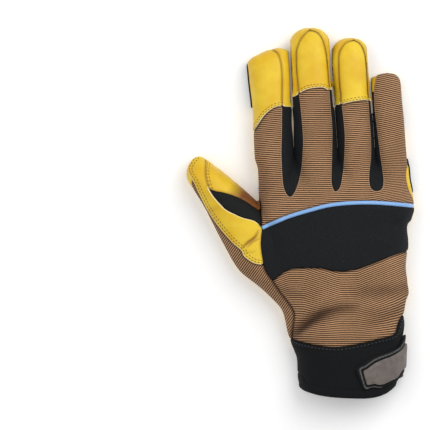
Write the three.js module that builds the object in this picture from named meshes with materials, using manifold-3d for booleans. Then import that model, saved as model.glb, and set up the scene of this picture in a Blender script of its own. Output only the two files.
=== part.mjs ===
// Mechanic glove for the right hand, empty, lying on its palm with its back up.
// Millimetres, +Z up, +Y to the fingertips, +X to the little finger.
// The origin is on the flat underside of the heel patch, which the glove rests on.
import * as THREE from 'three';
import { mergeVertices } from 'three/addons/utils/BufferGeometryUtils.js';
import Module from 'manifold-3d';

const wasm = await Module();
wasm.setup();

// Fingers: widths across, lengths from the web line to the tip, heights in the middle
const INDEX_WIDTH = 27.6;
const MIDDLE_WIDTH = 28.6;
const RING_WIDTH = 24.2;
const LITTLE_WIDTH = 20.6;
const INDEX_LENGTH = 72.5;
const MIDDLE_LENGTH = 87;
const RING_LENGTH = 81.5;
const LITTLE_LENGTH = 57.5;
const INDEX_HEIGHT = 21;
const MIDDLE_HEIGHT = 22;
const RING_HEIGHT = 21;
const LITTLE_HEIGHT = 18.5;
const FINGER_GAP = 1;
const FINGER_ROOT = 42;

// Hand, thumb and cuff
const PALM_LENGTH = 125;
const PALM_HEIGHT = 31;
const THUMB_LENGTH = 132;
const THUMB_WIDTH = 30;
const THUMB_HEIGHT = 25;
const THUMB_ANGLE = 30;
const CUFF_LENGTH = 37;
const CUFF_WIDTH = 76;
const CUFF_HEIGHT = 30;

// Walls and trim
const WALL = 1.4;
const PATCH_THICKNESS = 1;
const BAND_RAISE = 0.9;
const CUFF_WALL = 2.4;
const CUFF_RAISE = 0.4;
const PIPING_WIDTH = 3;
const PIPING_RAISE = 1.2;
const STRAP_THICKNESS = 1.8;
const PLATE_THICKNESS = 1.8;
const SEAM_HEIGHT = 6;
const FOLD_DEPTH = 2.6;
const FOLD_WIDTH = 5;
const CLEARANCE = 0.3;

// Outline and section quality
const FINGER_ARCS = 7;
const HAND_ARCS = 12;
const LOWER_TURNS = [202, 230, 310, 338];
const SEAM_STEPS = 2;

const LEATHER_FLOOR = PATCH_THICKNESS + CLEARANCE;
const KNUCKLE_SPAN = INDEX_WIDTH + MIDDLE_WIDTH + RING_WIDTH + LITTLE_WIDTH + 3 * FINGER_GAP;
const KNUCKLE_LEFT = -0.6;
const WEB_LINE = 0.656;
const CUFF_TOP = -0.34;
const CUFF_CENTRE = 0.02;
const SKY = 80;
const BEYOND = 2;

// Frames: points given as shares of the sizes that they follow

/** A point of the hand: across in knuckle spans, along in palm lengths, both from the origin. */
function hand(across, along) {
  return new THREE.Vector2(across * KNUCKLE_SPAN, along * PALM_LENGTH);
}

/** A point of the cuff: across in cuff widths from its middle, down in cuff lengths from its top. */
function cuff(across, down) {
  const top = hand(CUFF_CENTRE, CUFF_TOP);
  return new THREE.Vector2(top.x + across * CUFF_WIDTH, top.y - down * CUFF_LENGTH);
}

/** A frame along a finger or the thumb, from its start, leaning to the thumb side by some degrees. */
function stallFrame(start, lean, length, half) {
  const turn = THREE.MathUtils.degToRad(lean);
  const direction = new THREE.Vector2(-Math.sin(turn), Math.cos(turn));
  const side = new THREE.Vector2(Math.cos(turn), Math.sin(turn));
  return (along, across) => start.clone()
    .addScaledVector(direction, along * length)
    .addScaledVector(side, across * half);
}

const FINGERS = {
  index: { width: INDEX_WIDTH, length: INDEX_LENGTH, height: INDEX_HEIGHT, lean: 2.2, slant: 0.3 },
  middle: { width: MIDDLE_WIDTH, length: MIDDLE_LENGTH, height: MIDDLE_HEIGHT, lean: 3.2, slant: 0 },
  ring: { width: RING_WIDTH, length: RING_LENGTH, height: RING_HEIGHT, lean: 3.6, slant: 0 },
  little: { width: LITTLE_WIDTH, length: LITTLE_LENGTH, height: LITTLE_HEIGHT, lean: 4.3, slant: 0.1 },
};
let nextLeft = hand(KNUCKLE_LEFT, WEB_LINE).x;
for (const finger of Object.values(FINGERS)) {
  finger.web = new THREE.Vector2(nextLeft + finger.width / 2, hand(0, WEB_LINE).y);
  finger.at = stallFrame(finger.web, finger.lean, finger.length, finger.width / 2);
  nextLeft += finger.width + FINGER_GAP;
}
const { index, middle, ring, little } = FINGERS;
const thumbRoot = hand(-0.292, -0.27);
const thumb = stallFrame(thumbRoot, THUMB_ANGLE, THUMB_LENGTH, -THUMB_WIDTH);

// Sections of a finger: width and height as shares of the finger's own
const FINGER_SECTIONS = [
  { along: 0, width: 0.9, height: 1.2 },
  { along: 0.38, width: 0.99, height: 1.06 },
  { along: 0.7, width: 0.99, height: 0.98 },
  { along: 0.88, width: 0.97, height: 0.9 },
  { along: 0.935, width: 0.93, height: 0.83 },
  { along: 0.968, width: 0.8, height: 0.74 },
  { along: 0.99, width: 0.58, height: 0.64 },
  { along: 1, width: 0.38, height: 0.5 },
];

// Sections of the thumb: shift to the outer side and width in thumb widths, height in thumb heights
const THUMB_SECTIONS = [
  { along: 0.01, shift: -0.2, width: 0.84, height: 0.62 },
  { along: 0.15, shift: -0.28, width: 0.93, height: 0.84 },
  { along: 0.29, shift: -0.21, width: 1.11, height: 0.98 },
  { along: 0.43, shift: -0.08, width: 1.29, height: 1.04 },
  { along: 0.58, shift: 0.01, width: 1.06, height: 1.02 },
  { along: 0.7, shift: 0.04, width: 0.98, height: 1 },
  { along: 0.8, shift: 0.13, width: 0.91, height: 0.95 },
  { along: 0.9, shift: 0.17, width: 0.77, height: 0.86 },
  { along: 0.965, shift: 0.16, width: 0.6, height: 0.72 },
  { along: 1, shift: 0.14, width: 0.34, height: 0.5 },
];

// Sections of the hand from the wrist to the webs: edges in knuckle spans, height in palm heights
const HAND_SECTIONS = [
  { along: -0.297, left: -0.36, right: 0.372, height: 0.93, lift: 0.6 },
  { along: -0.243, left: -0.372, right: 0.38, height: 0.87, lift: 1.2 },
  { along: -0.2, left: -0.398, right: 0.378, height: 0.86, lift: 1 },
  { along: -0.157, left: -0.43, right: 0.386, height: 0.9, lift: 0.3 },
  { along: -0.108, left: -0.47, right: 0.395, height: 0.94, lift: 0 },
  { along: -0.059, left: -0.51, right: 0.414, height: 0.96, lift: 0 },
  { along: -0.011, left: -0.54, right: 0.406, height: 0.98, lift: 0 },
  { along: 0.086, left: -0.57, right: 0.395, height: 1.01, lift: 0 },
  { along: 0.184, left: -0.58, right: 0.408, height: 1.02, lift: 0 },
  { along: 0.281, left: -0.58, right: 0.395, height: 1, lift: 0 },
  { along: 0.4, left: -0.57, right: 0.446, height: 0.94, lift: 0 },
  { along: 0.486, left: -0.57, right: 0.432, height: 0.83, lift: 0 },
  { along: 0.551, left: -0.57, right: 0.415, height: 0.66, lift: 0 },
  { along: 0.6, left: -0.575, right: 0.408, height: 0.5, lift: 0 },
  { along: 0.645, left: -0.55, right: 0.38, height: 0.34, lift: 0 },
];

// Sections of the cuff from beyond its mouth to its top: edges in cuff widths from its middle
const CUFF_SECTIONS = [
  { down: 1.12, left: -0.44, right: 0.455, height: 0.98 },
  { down: 0.8, left: -0.445, right: 0.46, height: 1 },
  { down: 0.3, left: -0.45, right: 0.465, height: 0.99 },
  { down: 0.06, left: -0.49, right: 0.472, height: 0.96 },
];

// Folds of the back: a line in hand shares, depth and width in fold depths and widths
const FOLDS = [
  { from: hand(-0.36, -0.25), to: hand(-0.16, -0.17), depth: 1, width: 1 },
  { from: hand(-0.16, -0.17), to: hand(0.02, -0.145), depth: 0.8, width: 1.2 },
  { from: hand(0.1, -0.06), to: hand(0.36, -0.03), depth: 0.5, width: 1.1 },
];

/** How deep the folds press the back in at a point. */
function foldDepth(point) {
  let depth = 0;
  for (const fold of FOLDS) {
    const run = fold.to.clone().sub(fold.from);
    const share = point.clone().sub(fold.from).dot(run) / run.lengthSq();
    const nearest = fold.from.clone().addScaledVector(run, THREE.MathUtils.clamp(share, 0, 1));
    const reach = nearest.distanceTo(point) / (fold.width * FOLD_WIDTH);
    depth += fold.depth * FOLD_DEPTH * Math.exp(-reach * reach);
  }
  return depth;
}

/**
 * One closed section, flat below and domed above in some arcs.
 * place(across) gives the plan point at a share of the half width.
 */
function section(place, top, bottom, arcs) {
  const belt = bottom + Math.min(SEAM_HEIGHT - LEATHER_FLOOR, 0.4 * (top - bottom));
  const upperTurns = Array.from({ length: arcs + 1 }, (_, k) => (180 * k) / arcs);
  const points = [];
  for (const degrees of [...upperTurns, ...LOWER_TURNS]) {
    const turn = THREE.MathUtils.degToRad(degrees);
    const rise = Math.abs(Math.sin(turn));
    const across = Math.sign(Math.cos(turn)) * Math.abs(Math.cos(turn)) ** 0.85;
    const plan = place(across);
    const up = belt + (top - belt) * rise ** 0.9 - foldDepth(plan) * rise;
    const down = belt - (belt - bottom) * Math.min(1, 1.15 * Math.sqrt(rise));
    points.push(new THREE.Vector3(plan.x, plan.y, degrees <= 180 ? up : down));
  }
  return points;
}

/** A solid from triangles whose shared vertices are merged. */
function solidFrom(positions, triangles) {
  return new wasm.Manifold(new wasm.Mesh({
    numProp: 3,
    vertProperties: new Float32Array(positions),
    triVerts: new Uint32Array(triangles),
  }));
}

/** A solid lofted through rings of the same number of points, closed at both ends. */
function loft(rings) {
  const sides = rings[0].length;
  const triangles = [];
  for (let r = 0; r + 1 < rings.length; r += 1) {
    for (let k = 0; k < sides; k += 1) {
      const a = r * sides + k;
      const b = r * sides + ((k + 1) % sides);
      triangles.push(a, b + sides, b, a, a + sides, b + sides);
    }
  }
  const last = (rings.length - 1) * sides;
  for (let k = 1; k + 1 < sides; k += 1) {
    triangles.push(0, k, k + 1, last, last + k + 1, last + k);
  }
  return solidFrom(rings.flat().flatMap((p) => p.toArray()), triangles);
}

/** A closed three.js geometry as a solid. */
function solidOf(geometry) {
  geometry.deleteAttribute('normal');
  geometry.deleteAttribute('uv');
  const merged = mergeVertices(geometry);
  return solidFrom(merged.attributes.position.array, merged.index.array);
}

/** An upright prism over a plan outline. */
function prism(outline, low, high) {
  const shape = new THREE.Shape(outline);
  const geometry = new THREE.ExtrudeGeometry(shape, { depth: high - low, bevelEnabled: false });
  geometry.translate(0, 0, low);
  return solidOf(geometry);
}

/** The ring of a stall's section, its tip moved in or out with the wall. */
function stallRing(at, length, row, half, top, grow) {
  const along = row.along * (1 + grow / length);
  const place = (across) => at(along, across * half, row);
  return section(place, top + grow, LEATHER_FLOOR + Math.max(0, -grow), FINGER_ARCS);
}

/** One finger as a solid, grown out or in by some millimetres. */
function fingerForm(finger, grow) {
  const total = FINGER_ROOT + finger.length;
  const root = -FINGER_ROOT / finger.length;
  const rings = FINGER_SECTIONS.map((row) => {
    const half = (finger.width / 2) * row.width + grow;
    const at = (along, across) => {
      const slant = finger.slant * row.along ** 6 * across;
      return finger.at(root + along * (1 - root) + slant / finger.length, across / (finger.width / 2));
    };
    return stallRing(at, total, row, half, LEATHER_FLOOR + finger.height * row.height, grow);
  });
  return loft(rings);
}

/** The thumb as a solid. */
function thumbForm(grow) {
  const rings = THUMB_SECTIONS.map((row) => {
    const half = (THUMB_WIDTH / 2) * row.width + grow;
    const at = (along, across) => thumb(along, row.shift - across / THUMB_WIDTH);
    return stallRing(at, THUMB_LENGTH, row, half, LEATHER_FLOOR + THUMB_HEIGHT * row.height, grow);
  });
  return loft(rings);
}

/** One ring across the hand or the cuff between two plan points. */
function crossRing(left, right, top, bottom, grow) {
  const centre = left.clone().add(right).multiplyScalar(0.5);
  const half = (right.x - left.x) / 2 + grow;
  const place = (across) => new THREE.Vector2(centre.x + across * half, centre.y);
  return section(place, top + grow, bottom + Math.max(0, -grow), HAND_ARCS);
}

/** The hand and the cuff as one solid, with the inner one running out past the mouth. */
function handForm(grow) {
  const mouth = grow < 0 ? CUFF_LENGTH : 0;
  const cuffRings = CUFF_SECTIONS.map((row, number) => {
    const left = cuff(row.left, row.down);
    const right = cuff(row.right, row.down);
    left.y -= number === 0 ? mouth : 0;
    right.y = left.y;
    return crossRing(left, right, CUFF_HEIGHT * row.height, CUFF_RAISE, grow);
  });
  const webShare = (along) => THREE.MathUtils.smoothstep(along, 0.5, WEB_LINE);
  const handRings = HAND_SECTIONS.map((row) => {
    const left = hand(row.left, row.along);
    const right = hand(row.right, row.along);
    left.y += Math.min(0, grow) * webShare(row.along);
    right.y = left.y;
    const bottom = LEATHER_FLOOR + row.lift * WALL;
    return crossRing(left, right, LEATHER_FLOOR + PALM_HEIGHT * row.height, bottom, grow);
  });
  return loft([...cuffRings, ...handRings]);
}

/** The whole glove as a solid, grown out or in by some millimetres. */
function form(grow) {
  const fingers = Object.values(FINGERS).map((finger) => fingerForm(finger, grow));
  return wasm.Manifold.union([handForm(grow), thumbForm(grow), ...fingers]);
}

/** An upright curtain of some width along a seam line, between two heights. */
function curtainBetween(points, width, low, high) {
  const steps = SEAM_STEPS * (points.length - 1);
  const line = new THREE.SplineCurve(points).getPoints(steps);
  const leading = line[0].clone().sub(line[1]).setLength(CLEARANCE).add(line[0]);
  const trailing = line[steps].clone().sub(line[steps - 1]).setLength(CLEARANCE).add(line[steps]);
  const run = [leading, ...line, trailing];
  const rings = run.map((point, k) => {
    const before = run[Math.max(0, k - 1)];
    const after = run[Math.min(run.length - 1, k + 1)];
    const along = after.clone().sub(before).setLength(width / 2);
    const right = new THREE.Vector2(along.y, -along.x).add(point);
    const left = new THREE.Vector2(-along.y, along.x).add(point);
    return [[right, low], [right, high], [left, high], [left, low]]
      .map(([side, height]) => new THREE.Vector3(side.x, side.y, height));
  });
  return loft(rings);
}

// Corners where seam lines meet
const bandCorner = hand(-0.538, 0.281);
const bandPoint = hand(-0.473, -0.005);
const stripEnd = hand(-0.53, 0.1);
const webTop = thumb(0.844, 0.09);
const crotch = hand(-0.548, 0.387);

// Seam lines of the back, each between the webs, flanks and corners that it runs to
const pipingLine = [
  bandCorner, hand(-0.454, 0.313), hand(-0.357, 0.346), hand(-0.233, 0.378), hand(-0.097, 0.41),
  hand(0.065, 0.427), hand(0.227, 0.427), hand(0.441, 0.41), hand(0.52, 0.4),
];
const bandEdge = [bandCorner, hand(-0.548, 0.19), stripEnd, hand(-0.515, 0.045), bandPoint];
const bandFoot = [
  bandPoint, hand(-0.389, 0.049), hand(-0.311, 0.065), hand(-0.162, 0.065), hand(-0.065, 0.049),
  hand(0.032, 0.054), hand(0.162, 0.086), hand(0.292, 0.13), hand(0.408, 0.157), hand(0.52, 0.173),
];
const thumbSeam = [
  bandPoint, hand(-0.421, -0.07), hand(-0.37, -0.124), hand(-0.337, -0.173), hand(-0.337, -0.227),
  hand(-0.345, -0.297), cuff(-0.497, 0.08),
];
const cuffTop = [
  cuff(-0.7, -0.03), cuff(-0.52, 0), cuff(-0.35, 0.05), cuff(-0.12, 0.11), cuff(0.1, 0.04),
  cuff(0.31, -0.09), cuff(0.4, -0.2), cuff(0.436, -0.35), cuff(0.462, -0.46), cuff(0.49, -0.56),
  cuff(0.6, -0.75),
];
const stripEdge = [
  thumb(0.95, 0.62), thumb(0.853, 0.57), thumb(0.755, 0.53), thumb(0.653, 0.46), thumb(0.573, 0.38),
  thumb(0.47, 0.26), stripEnd,
];
const stripSeam = [thumb(1.05, -0.22), thumb(0.995, -0.15), thumb(0.903, 0.02), webTop];
const webPatchLower = [
  webTop, thumb(0.791, 0.18), thumb(0.755, 0.17), thumb(0.711, 0.1), thumb(0.657, -0.04),
  thumb(0.591, -0.24), bandCorner,
];
const webPatchUpper = [
  webTop, thumb(0.802, 0), thumb(0.723, -0.35), hand(-0.594, 0.401), crotch,
  hand(-0.537, 0.337), bandCorner,
];
const crotchSeam = [crotch, hand(-0.575, 0.43), hand(-0.6, 0.48), hand(-0.605, 0.58)];

// Each valley seam runs from one fingertip down one flank, round the knuckle web and up to the next
const valleyIndexMiddle = [
  index.at(1.08, -0.3), index.at(0.97, 0.05), index.at(0.88, 0.28), index.at(0.46, 0.34),
  index.at(0.34, 0.38), index.at(0.13, 0.35), index.at(-0.1, 0.33), index.at(-0.2, 0.4),
  hand(-0.357, 0.448), middle.at(-0.2, -0.9), middle.at(-0.1, -0.78), middle.at(0.1, -0.6),
  middle.at(0.3, -0.58), middle.at(0.5, -0.64), middle.at(0.8, -0.7), middle.at(0.9, -0.62),
  middle.at(0.97, -0.25), middle.at(1.06, 0),
];
const valleyMiddleRing = [
  middle.at(1.06, 0.3), middle.at(0.94, 0.62), middle.at(0.82, 0.78), middle.at(0.48, 0.82),
  middle.at(0.3, 0.76), middle.at(0.02, 0.7), middle.at(-0.1, 0.6), middle.at(-0.2, 0.5),
  hand(-0.065, 0.475), ring.at(-0.2, -0.98), ring.at(-0.08, -0.78), ring.at(0.1, -0.6),
  ring.at(0.3, -0.58), ring.at(0.47, -0.68), ring.at(0.8, -0.72), ring.at(0.92, -0.55),
  ring.at(1.05, -0.1),
];
const valleyRingLittle = [
  ring.at(1.05, 0.35), ring.at(0.93, 0.66), ring.at(0.78, 0.8), ring.at(0.46, 0.84),
  ring.at(0.3, 0.8), ring.at(0.02, 0.7), ring.at(-0.1, 0.62), ring.at(-0.2, 0.5),
  hand(0.207, 0.486), little.at(-0.32, -0.6), little.at(-0.14, -0.66), little.at(0.16, -0.7),
  little.at(0.36, -0.76), little.at(0.6, -0.84), little.at(0.8, -0.74), little.at(0.93, -0.5),
  little.at(1.08, -0.15),
];

// Lower raw edges of the leather tips, across the whole finger
const tipEdges = [
  [index.at(0.22, -1.08), index.at(0.27, -0.85), index.at(0.39, -0.4), index.at(0.455, 0),
    index.at(0.48, 0.35), index.at(0.475, 0.7), index.at(0.47, 1.05)],
  [middle.at(0.49, -1.05), middle.at(0.5, -0.8), middle.at(0.53, 0), middle.at(0.525, 0.6),
    middle.at(0.51, 1.05)],
  [ring.at(0.45, -1.06), ring.at(0.455, -0.6), ring.at(0.47, 0), ring.at(0.475, 0.6),
    ring.at(0.46, 1.06)],
  [little.at(0.52, -1.07), little.at(0.53, -0.84)],
];

/** A curtain along a seam line, cut through everything above the palm seam. */
function curtain(points, width = CLEARANCE) {
  return curtainBetween(points, width, SEAM_HEIGHT - CLEARANCE / 2, SKY);
}

const footLine = [cuff(-BEYOND, 0.06), cuff(0, 0.06), cuff(BEYOND, 0.06)];
const palmSeam = prism(
  [hand(-BEYOND, BEYOND), footLine[0], footLine[2], hand(BEYOND, BEYOND)].map((p) => p.clone()),
  SEAM_HEIGHT - CLEARANCE / 2,
  SEAM_HEIGHT + CLEARANCE / 2,
);
const cuffSeamBelow = curtainBetween(footLine, CLEARANCE, -SKY, SEAM_HEIGHT + CLEARANCE / 2);
const seams = [
  bandEdge, bandFoot, thumbSeam, cuffTop, stripEdge, stripSeam, webPatchLower, webPatchUpper,
  crotchSeam, valleyIndexMiddle, valleyMiddleRing, valleyRingLittle, ...tipEdges,
].map((line) => curtain(line));
const pipingGroove = curtain(pipingLine, PIPING_WIDTH + 2 * CLEARANCE);

// The mouth: what lies beyond the curved hem is cut away
const mouth = prism([
  cuff(-0.9, 0.5), cuff(-0.5, 0.66), cuff(-0.44, 0.81), cuff(-0.36, 0.9), cuff(-0.2, 0.97),
  cuff(0, 1), cuff(0.19, 1), cuff(0.33, 0.93), cuff(0.42, 0.8), cuff(0.5, 0.62), cuff(0.9, 0.5),
  cuff(0.9, 4), cuff(-0.9, 4),
], -SKY, SKY);
const cuts = wasm.Manifold.union([palmSeam, cuffSeamBelow, pipingGroove, mouth, ...seams]);

const outerForm = form(0);
const innerForm = form(-WALL);
const softPanels = outerForm.subtract(innerForm).subtract(cuts).decompose();
const bandPanels = form(BAND_RAISE).subtract(innerForm).subtract(cuts).decompose();
const cuffPanels = form(CUFF_RAISE).subtract(form(CUFF_RAISE - CUFF_WALL)).subtract(cuts).decompose();

/** The panel that an upright needle at a plan point meets, above or below the palm seam. */
function panelAt(panels, point, above = true) {
  const side = CLEARANCE;
  const square = [[-side, -side], [side, -side], [side, side], [-side, side]]
    .map(([dx, dy]) => new THREE.Vector2(point.x + dx, point.y + dy));
  const needle = above
    ? prism(square, SEAM_HEIGHT + CLEARANCE, SKY)
    : prism(square, -SKY, SEAM_HEIGHT - CLEARANCE);
  const found = panels.find((panel) => !panel.intersect(needle).isEmpty());
  if (!found) {
    throw new Error(`no panel at ${point.x.toFixed(1)}, ${point.y.toFixed(1)}`);
  }
  return found;
}

/** A flat reinforcement under the palm, from the surface that the glove rests on. */
function patch(outline) {
  return prism(outline, 0, PATCH_THICKNESS);
}

/** A smooth closed outline through a few points. */
function smoothLoop(points) {
  const closed = points.map((p) => new THREE.Vector3(p.x, p.y, 0));
  const curve = new THREE.CatmullRomCurve3(closed, true, 'centripetal');
  return curve.getPoints(2 * points.length).slice(0, -1).map((p) => new THREE.Vector2(p.x, p.y));
}

/** The outline of a fingertip reinforcement with a rounded top. */
function tipPatch(finger, low, high, half, bend) {
  return smoothLoop([
    finger.at(low - bend, -half), finger.at(low, 0), finger.at(low + bend, half),
    finger.at((low + high) / 2, half), finger.at(high - 0.14, half * 0.9),
    finger.at(high - 0.03, half * 0.5), finger.at(high, 0), finger.at(high - 0.03, -half * 0.5),
    finger.at(high - 0.14, -half * 0.9), finger.at((low + high) / 2, -half),
  ]);
}

const knucklePatch = smoothLoop([
  hand(-0.5, 0.6), hand(-0.34, 0.6), hand(-0.285, 0.65), hand(-0.265, 0.73), hand(-0.19, 0.785),
  hand(-0.12, 0.73), hand(-0.1, 0.64), hand(-0.065, 0.585), hand(-0.03, 0.64), hand(-0.01, 0.7),
  hand(0.07, 0.755), hand(0.145, 0.69), hand(0.15, 0.58), hand(0.19, 0.47), hand(0.265, 0.34),
  hand(0.18, 0.355), hand(-0.06, 0.41), hand(-0.26, 0.443), hand(-0.48, 0.485), hand(-0.51, 0.54),
]);
const heelPatch = smoothLoop([
  hand(-0.305, 0.33), hand(-0.24, 0.375), hand(0.13, 0.346), hand(0.3, 0.29), hand(0.375, 0.14),
  hand(0.35, -0.01), hand(0.175, -0.12), hand(0.03, -0.11), hand(-0.16, -0.05), hand(-0.285, 0.043),
  hand(-0.355, 0.155), hand(-0.285, 0.23), hand(-0.1, 0.18), hand(0.12, 0.105), hand(0.165, 0.115),
  hand(0.15, 0.14), hand(0.07, 0.194), hand(-0.26, 0.27),
]);
const crotchPatch = smoothLoop([
  hand(-0.56, 0.52), hand(-0.49, 0.47), hand(-0.43, 0.405), hand(-0.396, 0.34), hand(-0.42, 0.27),
  hand(-0.48, 0.238), hand(-0.55, 0.28), hand(-0.585, 0.34), hand(-0.555, 0.4),
]);
const littleBaseCentre = hand(0.345, 0.54);
const littleBasePatch = new THREE.EllipseCurve(
  littleBaseCentre.x, littleBaseCentre.y, 0.085 * KNUCKLE_SPAN, 0.13 * PALM_LENGTH, 0, 2 * Math.PI,
).getPoints(16).slice(0, -1);

// Strap and plate: shells that lie on the cuff, each over its own plan outline
const strapOutline = [
  cuff(0.044, 0.46), cuff(0.098, 0.37), cuff(0.25, 0.2), cuff(0.4, 0.11), cuff(0.45, -0.12),
  cuff(0.7, -0.12), cuff(0.7, 0.54), cuff(0.42, 0.69), cuff(0.33, 0.78), cuff(0.21, 0.81),
  cuff(0.124, 0.88),
];
const plateOutline = [
  cuff(0.115, 0.48), cuff(0.178, 0.43), cuff(0.24, 0.32), cuff(0.33, 0.26), cuff(0.44, 0.16),
  cuff(0.48, 0.04), cuff(0.7, 0.04), cuff(0.7, 0.44), cuff(0.44, 0.6), cuff(0.33, 0.71),
  cuff(0.258, 0.75), cuff(0.151, 0.76),
];
const strapSeat = CUFF_RAISE + CLEARANCE;
const plateSeat = strapSeat + STRAP_THICKNESS + CLEARANCE;

/** A shell on the cuff between two heights above the glove's surface. */
function overlay(outline, seat, thickness) {
  return form(seat + thickness).subtract(form(seat)).intersect(prism(outline, SEAM_HEIGHT, SKY));
}

const FINISHES = {
  leather: { color: 0xe6c53a, roughness: 0.62, metalness: 0 },
  stretch: { color: 0x7a5d48, roughness: 0.85, metalness: 0 },
  synthetic: { color: 0x343635, roughness: 0.7, metalness: 0 },
  neoprene: { color: 0x1f2124, roughness: 0.8, metalness: 0 },
  piping: { color: 0x8fc4e0, roughness: 0.45, metalness: 0 },
  plate: { color: 0x736a65, roughness: 0.55, metalness: 0 },
};

const group = new THREE.Group();

/** Adds a solid to the glove as a named mesh. */
function add(name, solid, finish) {
  const { vertProperties, triVerts } = solid.getMesh();
  const geometry = new THREE.BufferGeometry();
  geometry.setAttribute('position', new THREE.BufferAttribute(Float32Array.from(vertProperties), 3));
  geometry.setIndex(new THREE.BufferAttribute(Uint32Array.from(triVerts), 1));
  geometry.computeVertexNormals();
  const mesh = new THREE.Mesh(geometry, new THREE.MeshStandardMaterial(FINISHES[finish]));
  mesh.name = name;
  group.add(mesh);
}

// Back of the hand and fingers
add('back_upper', panelAt(softPanels, hand(0, 0.5)), 'stretch');
add('back_lower', panelAt(softPanels, hand(0, -0.08)), 'stretch');
add('thumb_back', panelAt(softPanels, thumb(0.3, 0.15)), 'stretch');
add('knuckle_band', panelAt(bandPanels, hand(0, 0.2)), 'synthetic');
const pipingShell = form(PIPING_RAISE).subtract(form(-CLEARANCE));
add('piping', pipingShell.intersect(curtain(pipingLine, PIPING_WIDTH)), 'piping');

// Thumb and its web
add('thumb_strip', panelAt(softPanels, thumb(0.7, 0.3)), 'leather');
add('thumb_inner', panelAt(softPanels, thumb(0.84, -0.15)), 'leather');
add('web_patch', panelAt(softPanels, thumb(0.68, -0.25)), 'synthetic');

// Side walls between the fingers
add('fourchette_index_middle', panelAt(softPanels, hand(-0.357, 0.5)), 'synthetic');
add('fourchette_middle_ring', panelAt(softPanels, hand(-0.065, 0.53)), 'synthetic');
add('fourchette_ring_little', panelAt(softPanels, hand(0.207, 0.54)), 'synthetic');

// Leather tips and their walls
add('index_tip', panelAt(softPanels, index.at(0.7, -0.3)), 'leather');
add('middle_tip', panelAt(softPanels, middle.at(0.7, 0)), 'leather');
add('ring_tip', panelAt(softPanels, ring.at(0.7, 0)), 'leather');
add('index_tip_wall', panelAt(softPanels, index.at(0.7, 0.8)), 'leather');
add('middle_tip_wall_left', panelAt(softPanels, middle.at(0.65, -0.85)), 'leather');
add('middle_tip_wall_right', panelAt(softPanels, middle.at(0.65, 0.92)), 'leather');
add('ring_tip_wall_left', panelAt(softPanels, ring.at(0.65, -0.86)), 'leather');
add('ring_tip_wall_right', panelAt(softPanels, ring.at(0.65, 0.92)), 'leather');
add('little_tip_wall', panelAt(softPanels, little.at(0.72, -0.9)), 'leather');

// Palm and its reinforcements
add('palm_leather', panelAt(softPanels, hand(0, 0.2), false), 'leather');
add('index_patch', patch(tipPatch(index, 0.49, 1, 0.98, 0.02)), 'synthetic');
add('middle_patch', patch(tipPatch(middle, 0.5, 0.95, 0.82, -0.01)), 'synthetic');
add('ring_patch', patch(tipPatch(ring, 0.48, 0.97, 0.82, -0.01)), 'synthetic');
add('little_patch', patch(tipPatch(little, 0.37, 0.98, 0.96, -0.03)), 'synthetic');
add('knuckle_patch', patch(knucklePatch), 'synthetic');
add('little_base_patch', patch(littleBasePatch), 'synthetic');
add('heel_patch', patch(heelPatch), 'synthetic');
add('crotch_patch', patch(crotchPatch), 'synthetic');

// Cuff and its closure
add('cuff_band', panelAt(cuffPanels, cuff(0, 0.4)), 'neoprene');
add('strap', overlay(strapOutline, strapSeat, STRAP_THICKNESS), 'neoprene');
add('strap_plate', overlay(plateOutline, plateSeat, PLATE_THICKNESS), 'plate');

export default group;
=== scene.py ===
"""Looks of a mechanic glove for the right hand, lying on its palm.

The skin of the glove is one soft surface, worked out from the same sections as the solids. Every panel
is a stretch of that skin inside its own seam lines, with a thickness and rounded edges, and rides on
the frame in place of its solid. Lengths are millimetres here and become metres when a mesh is made.
"""

import logging
import math
from collections.abc import Callable, Sequence
from dataclasses import dataclass, field
from enum import Enum
from typing import NamedTuple

import bpy
import numpy as np
from bpy.types import Material, Node, NodeSocket, NodeTree, Object
from mathutils.bvhtree import BVHTree
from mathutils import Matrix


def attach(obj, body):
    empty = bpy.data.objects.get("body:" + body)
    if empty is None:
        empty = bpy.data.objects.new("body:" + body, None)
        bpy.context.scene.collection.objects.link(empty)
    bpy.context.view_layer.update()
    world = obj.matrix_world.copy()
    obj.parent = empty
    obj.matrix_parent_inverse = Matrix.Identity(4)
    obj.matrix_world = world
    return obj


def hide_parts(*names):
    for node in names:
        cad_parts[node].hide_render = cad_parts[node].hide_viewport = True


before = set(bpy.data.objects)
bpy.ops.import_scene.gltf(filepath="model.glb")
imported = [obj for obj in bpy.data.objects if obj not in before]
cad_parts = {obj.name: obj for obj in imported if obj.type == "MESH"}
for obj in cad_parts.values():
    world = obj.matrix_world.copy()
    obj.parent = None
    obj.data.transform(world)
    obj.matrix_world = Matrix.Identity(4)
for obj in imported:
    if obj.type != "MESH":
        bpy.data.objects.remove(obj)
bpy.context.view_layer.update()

LOG = logging.getLogger("glove")
METRES = 0.001
SEED = 7
FAR_AWAY = 12.0
CURVE_STEPS = 8

Array = Points = np.ndarray
Region = Callable[[Points], Array]


@dataclass(frozen=True)
class HandSizes:
    """Driving sizes of the hand and the cuff, in millimetres."""

    knuckle_span: float = 104.0
    palm_length: float = 125.0
    palm_height: float = 31.0
    cuff_length: float = 37.0
    cuff_width: float = 76.0
    cuff_height: float = 30.0
    cuff_floor: float = 0.4
    finger_root: float = 42.0
    finger_gap: float = 1.0
    leather_floor: float = 1.3
    wall: float = 1.4
    seam_height: float = 6.0
    flank_height: float = 4.4
    knuckle_left: float = -0.6
    web_line: float = 0.656
    cuff_top: float = -0.34
    cuff_centre: float = 0.02


SIZES = HandSizes()


class FingerSize(NamedTuple):
    """Width, length and height of a finger or the thumb, its lean in degrees and its tip's slant."""

    width: float
    length: float
    height: float
    lean: float
    slant: float


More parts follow.
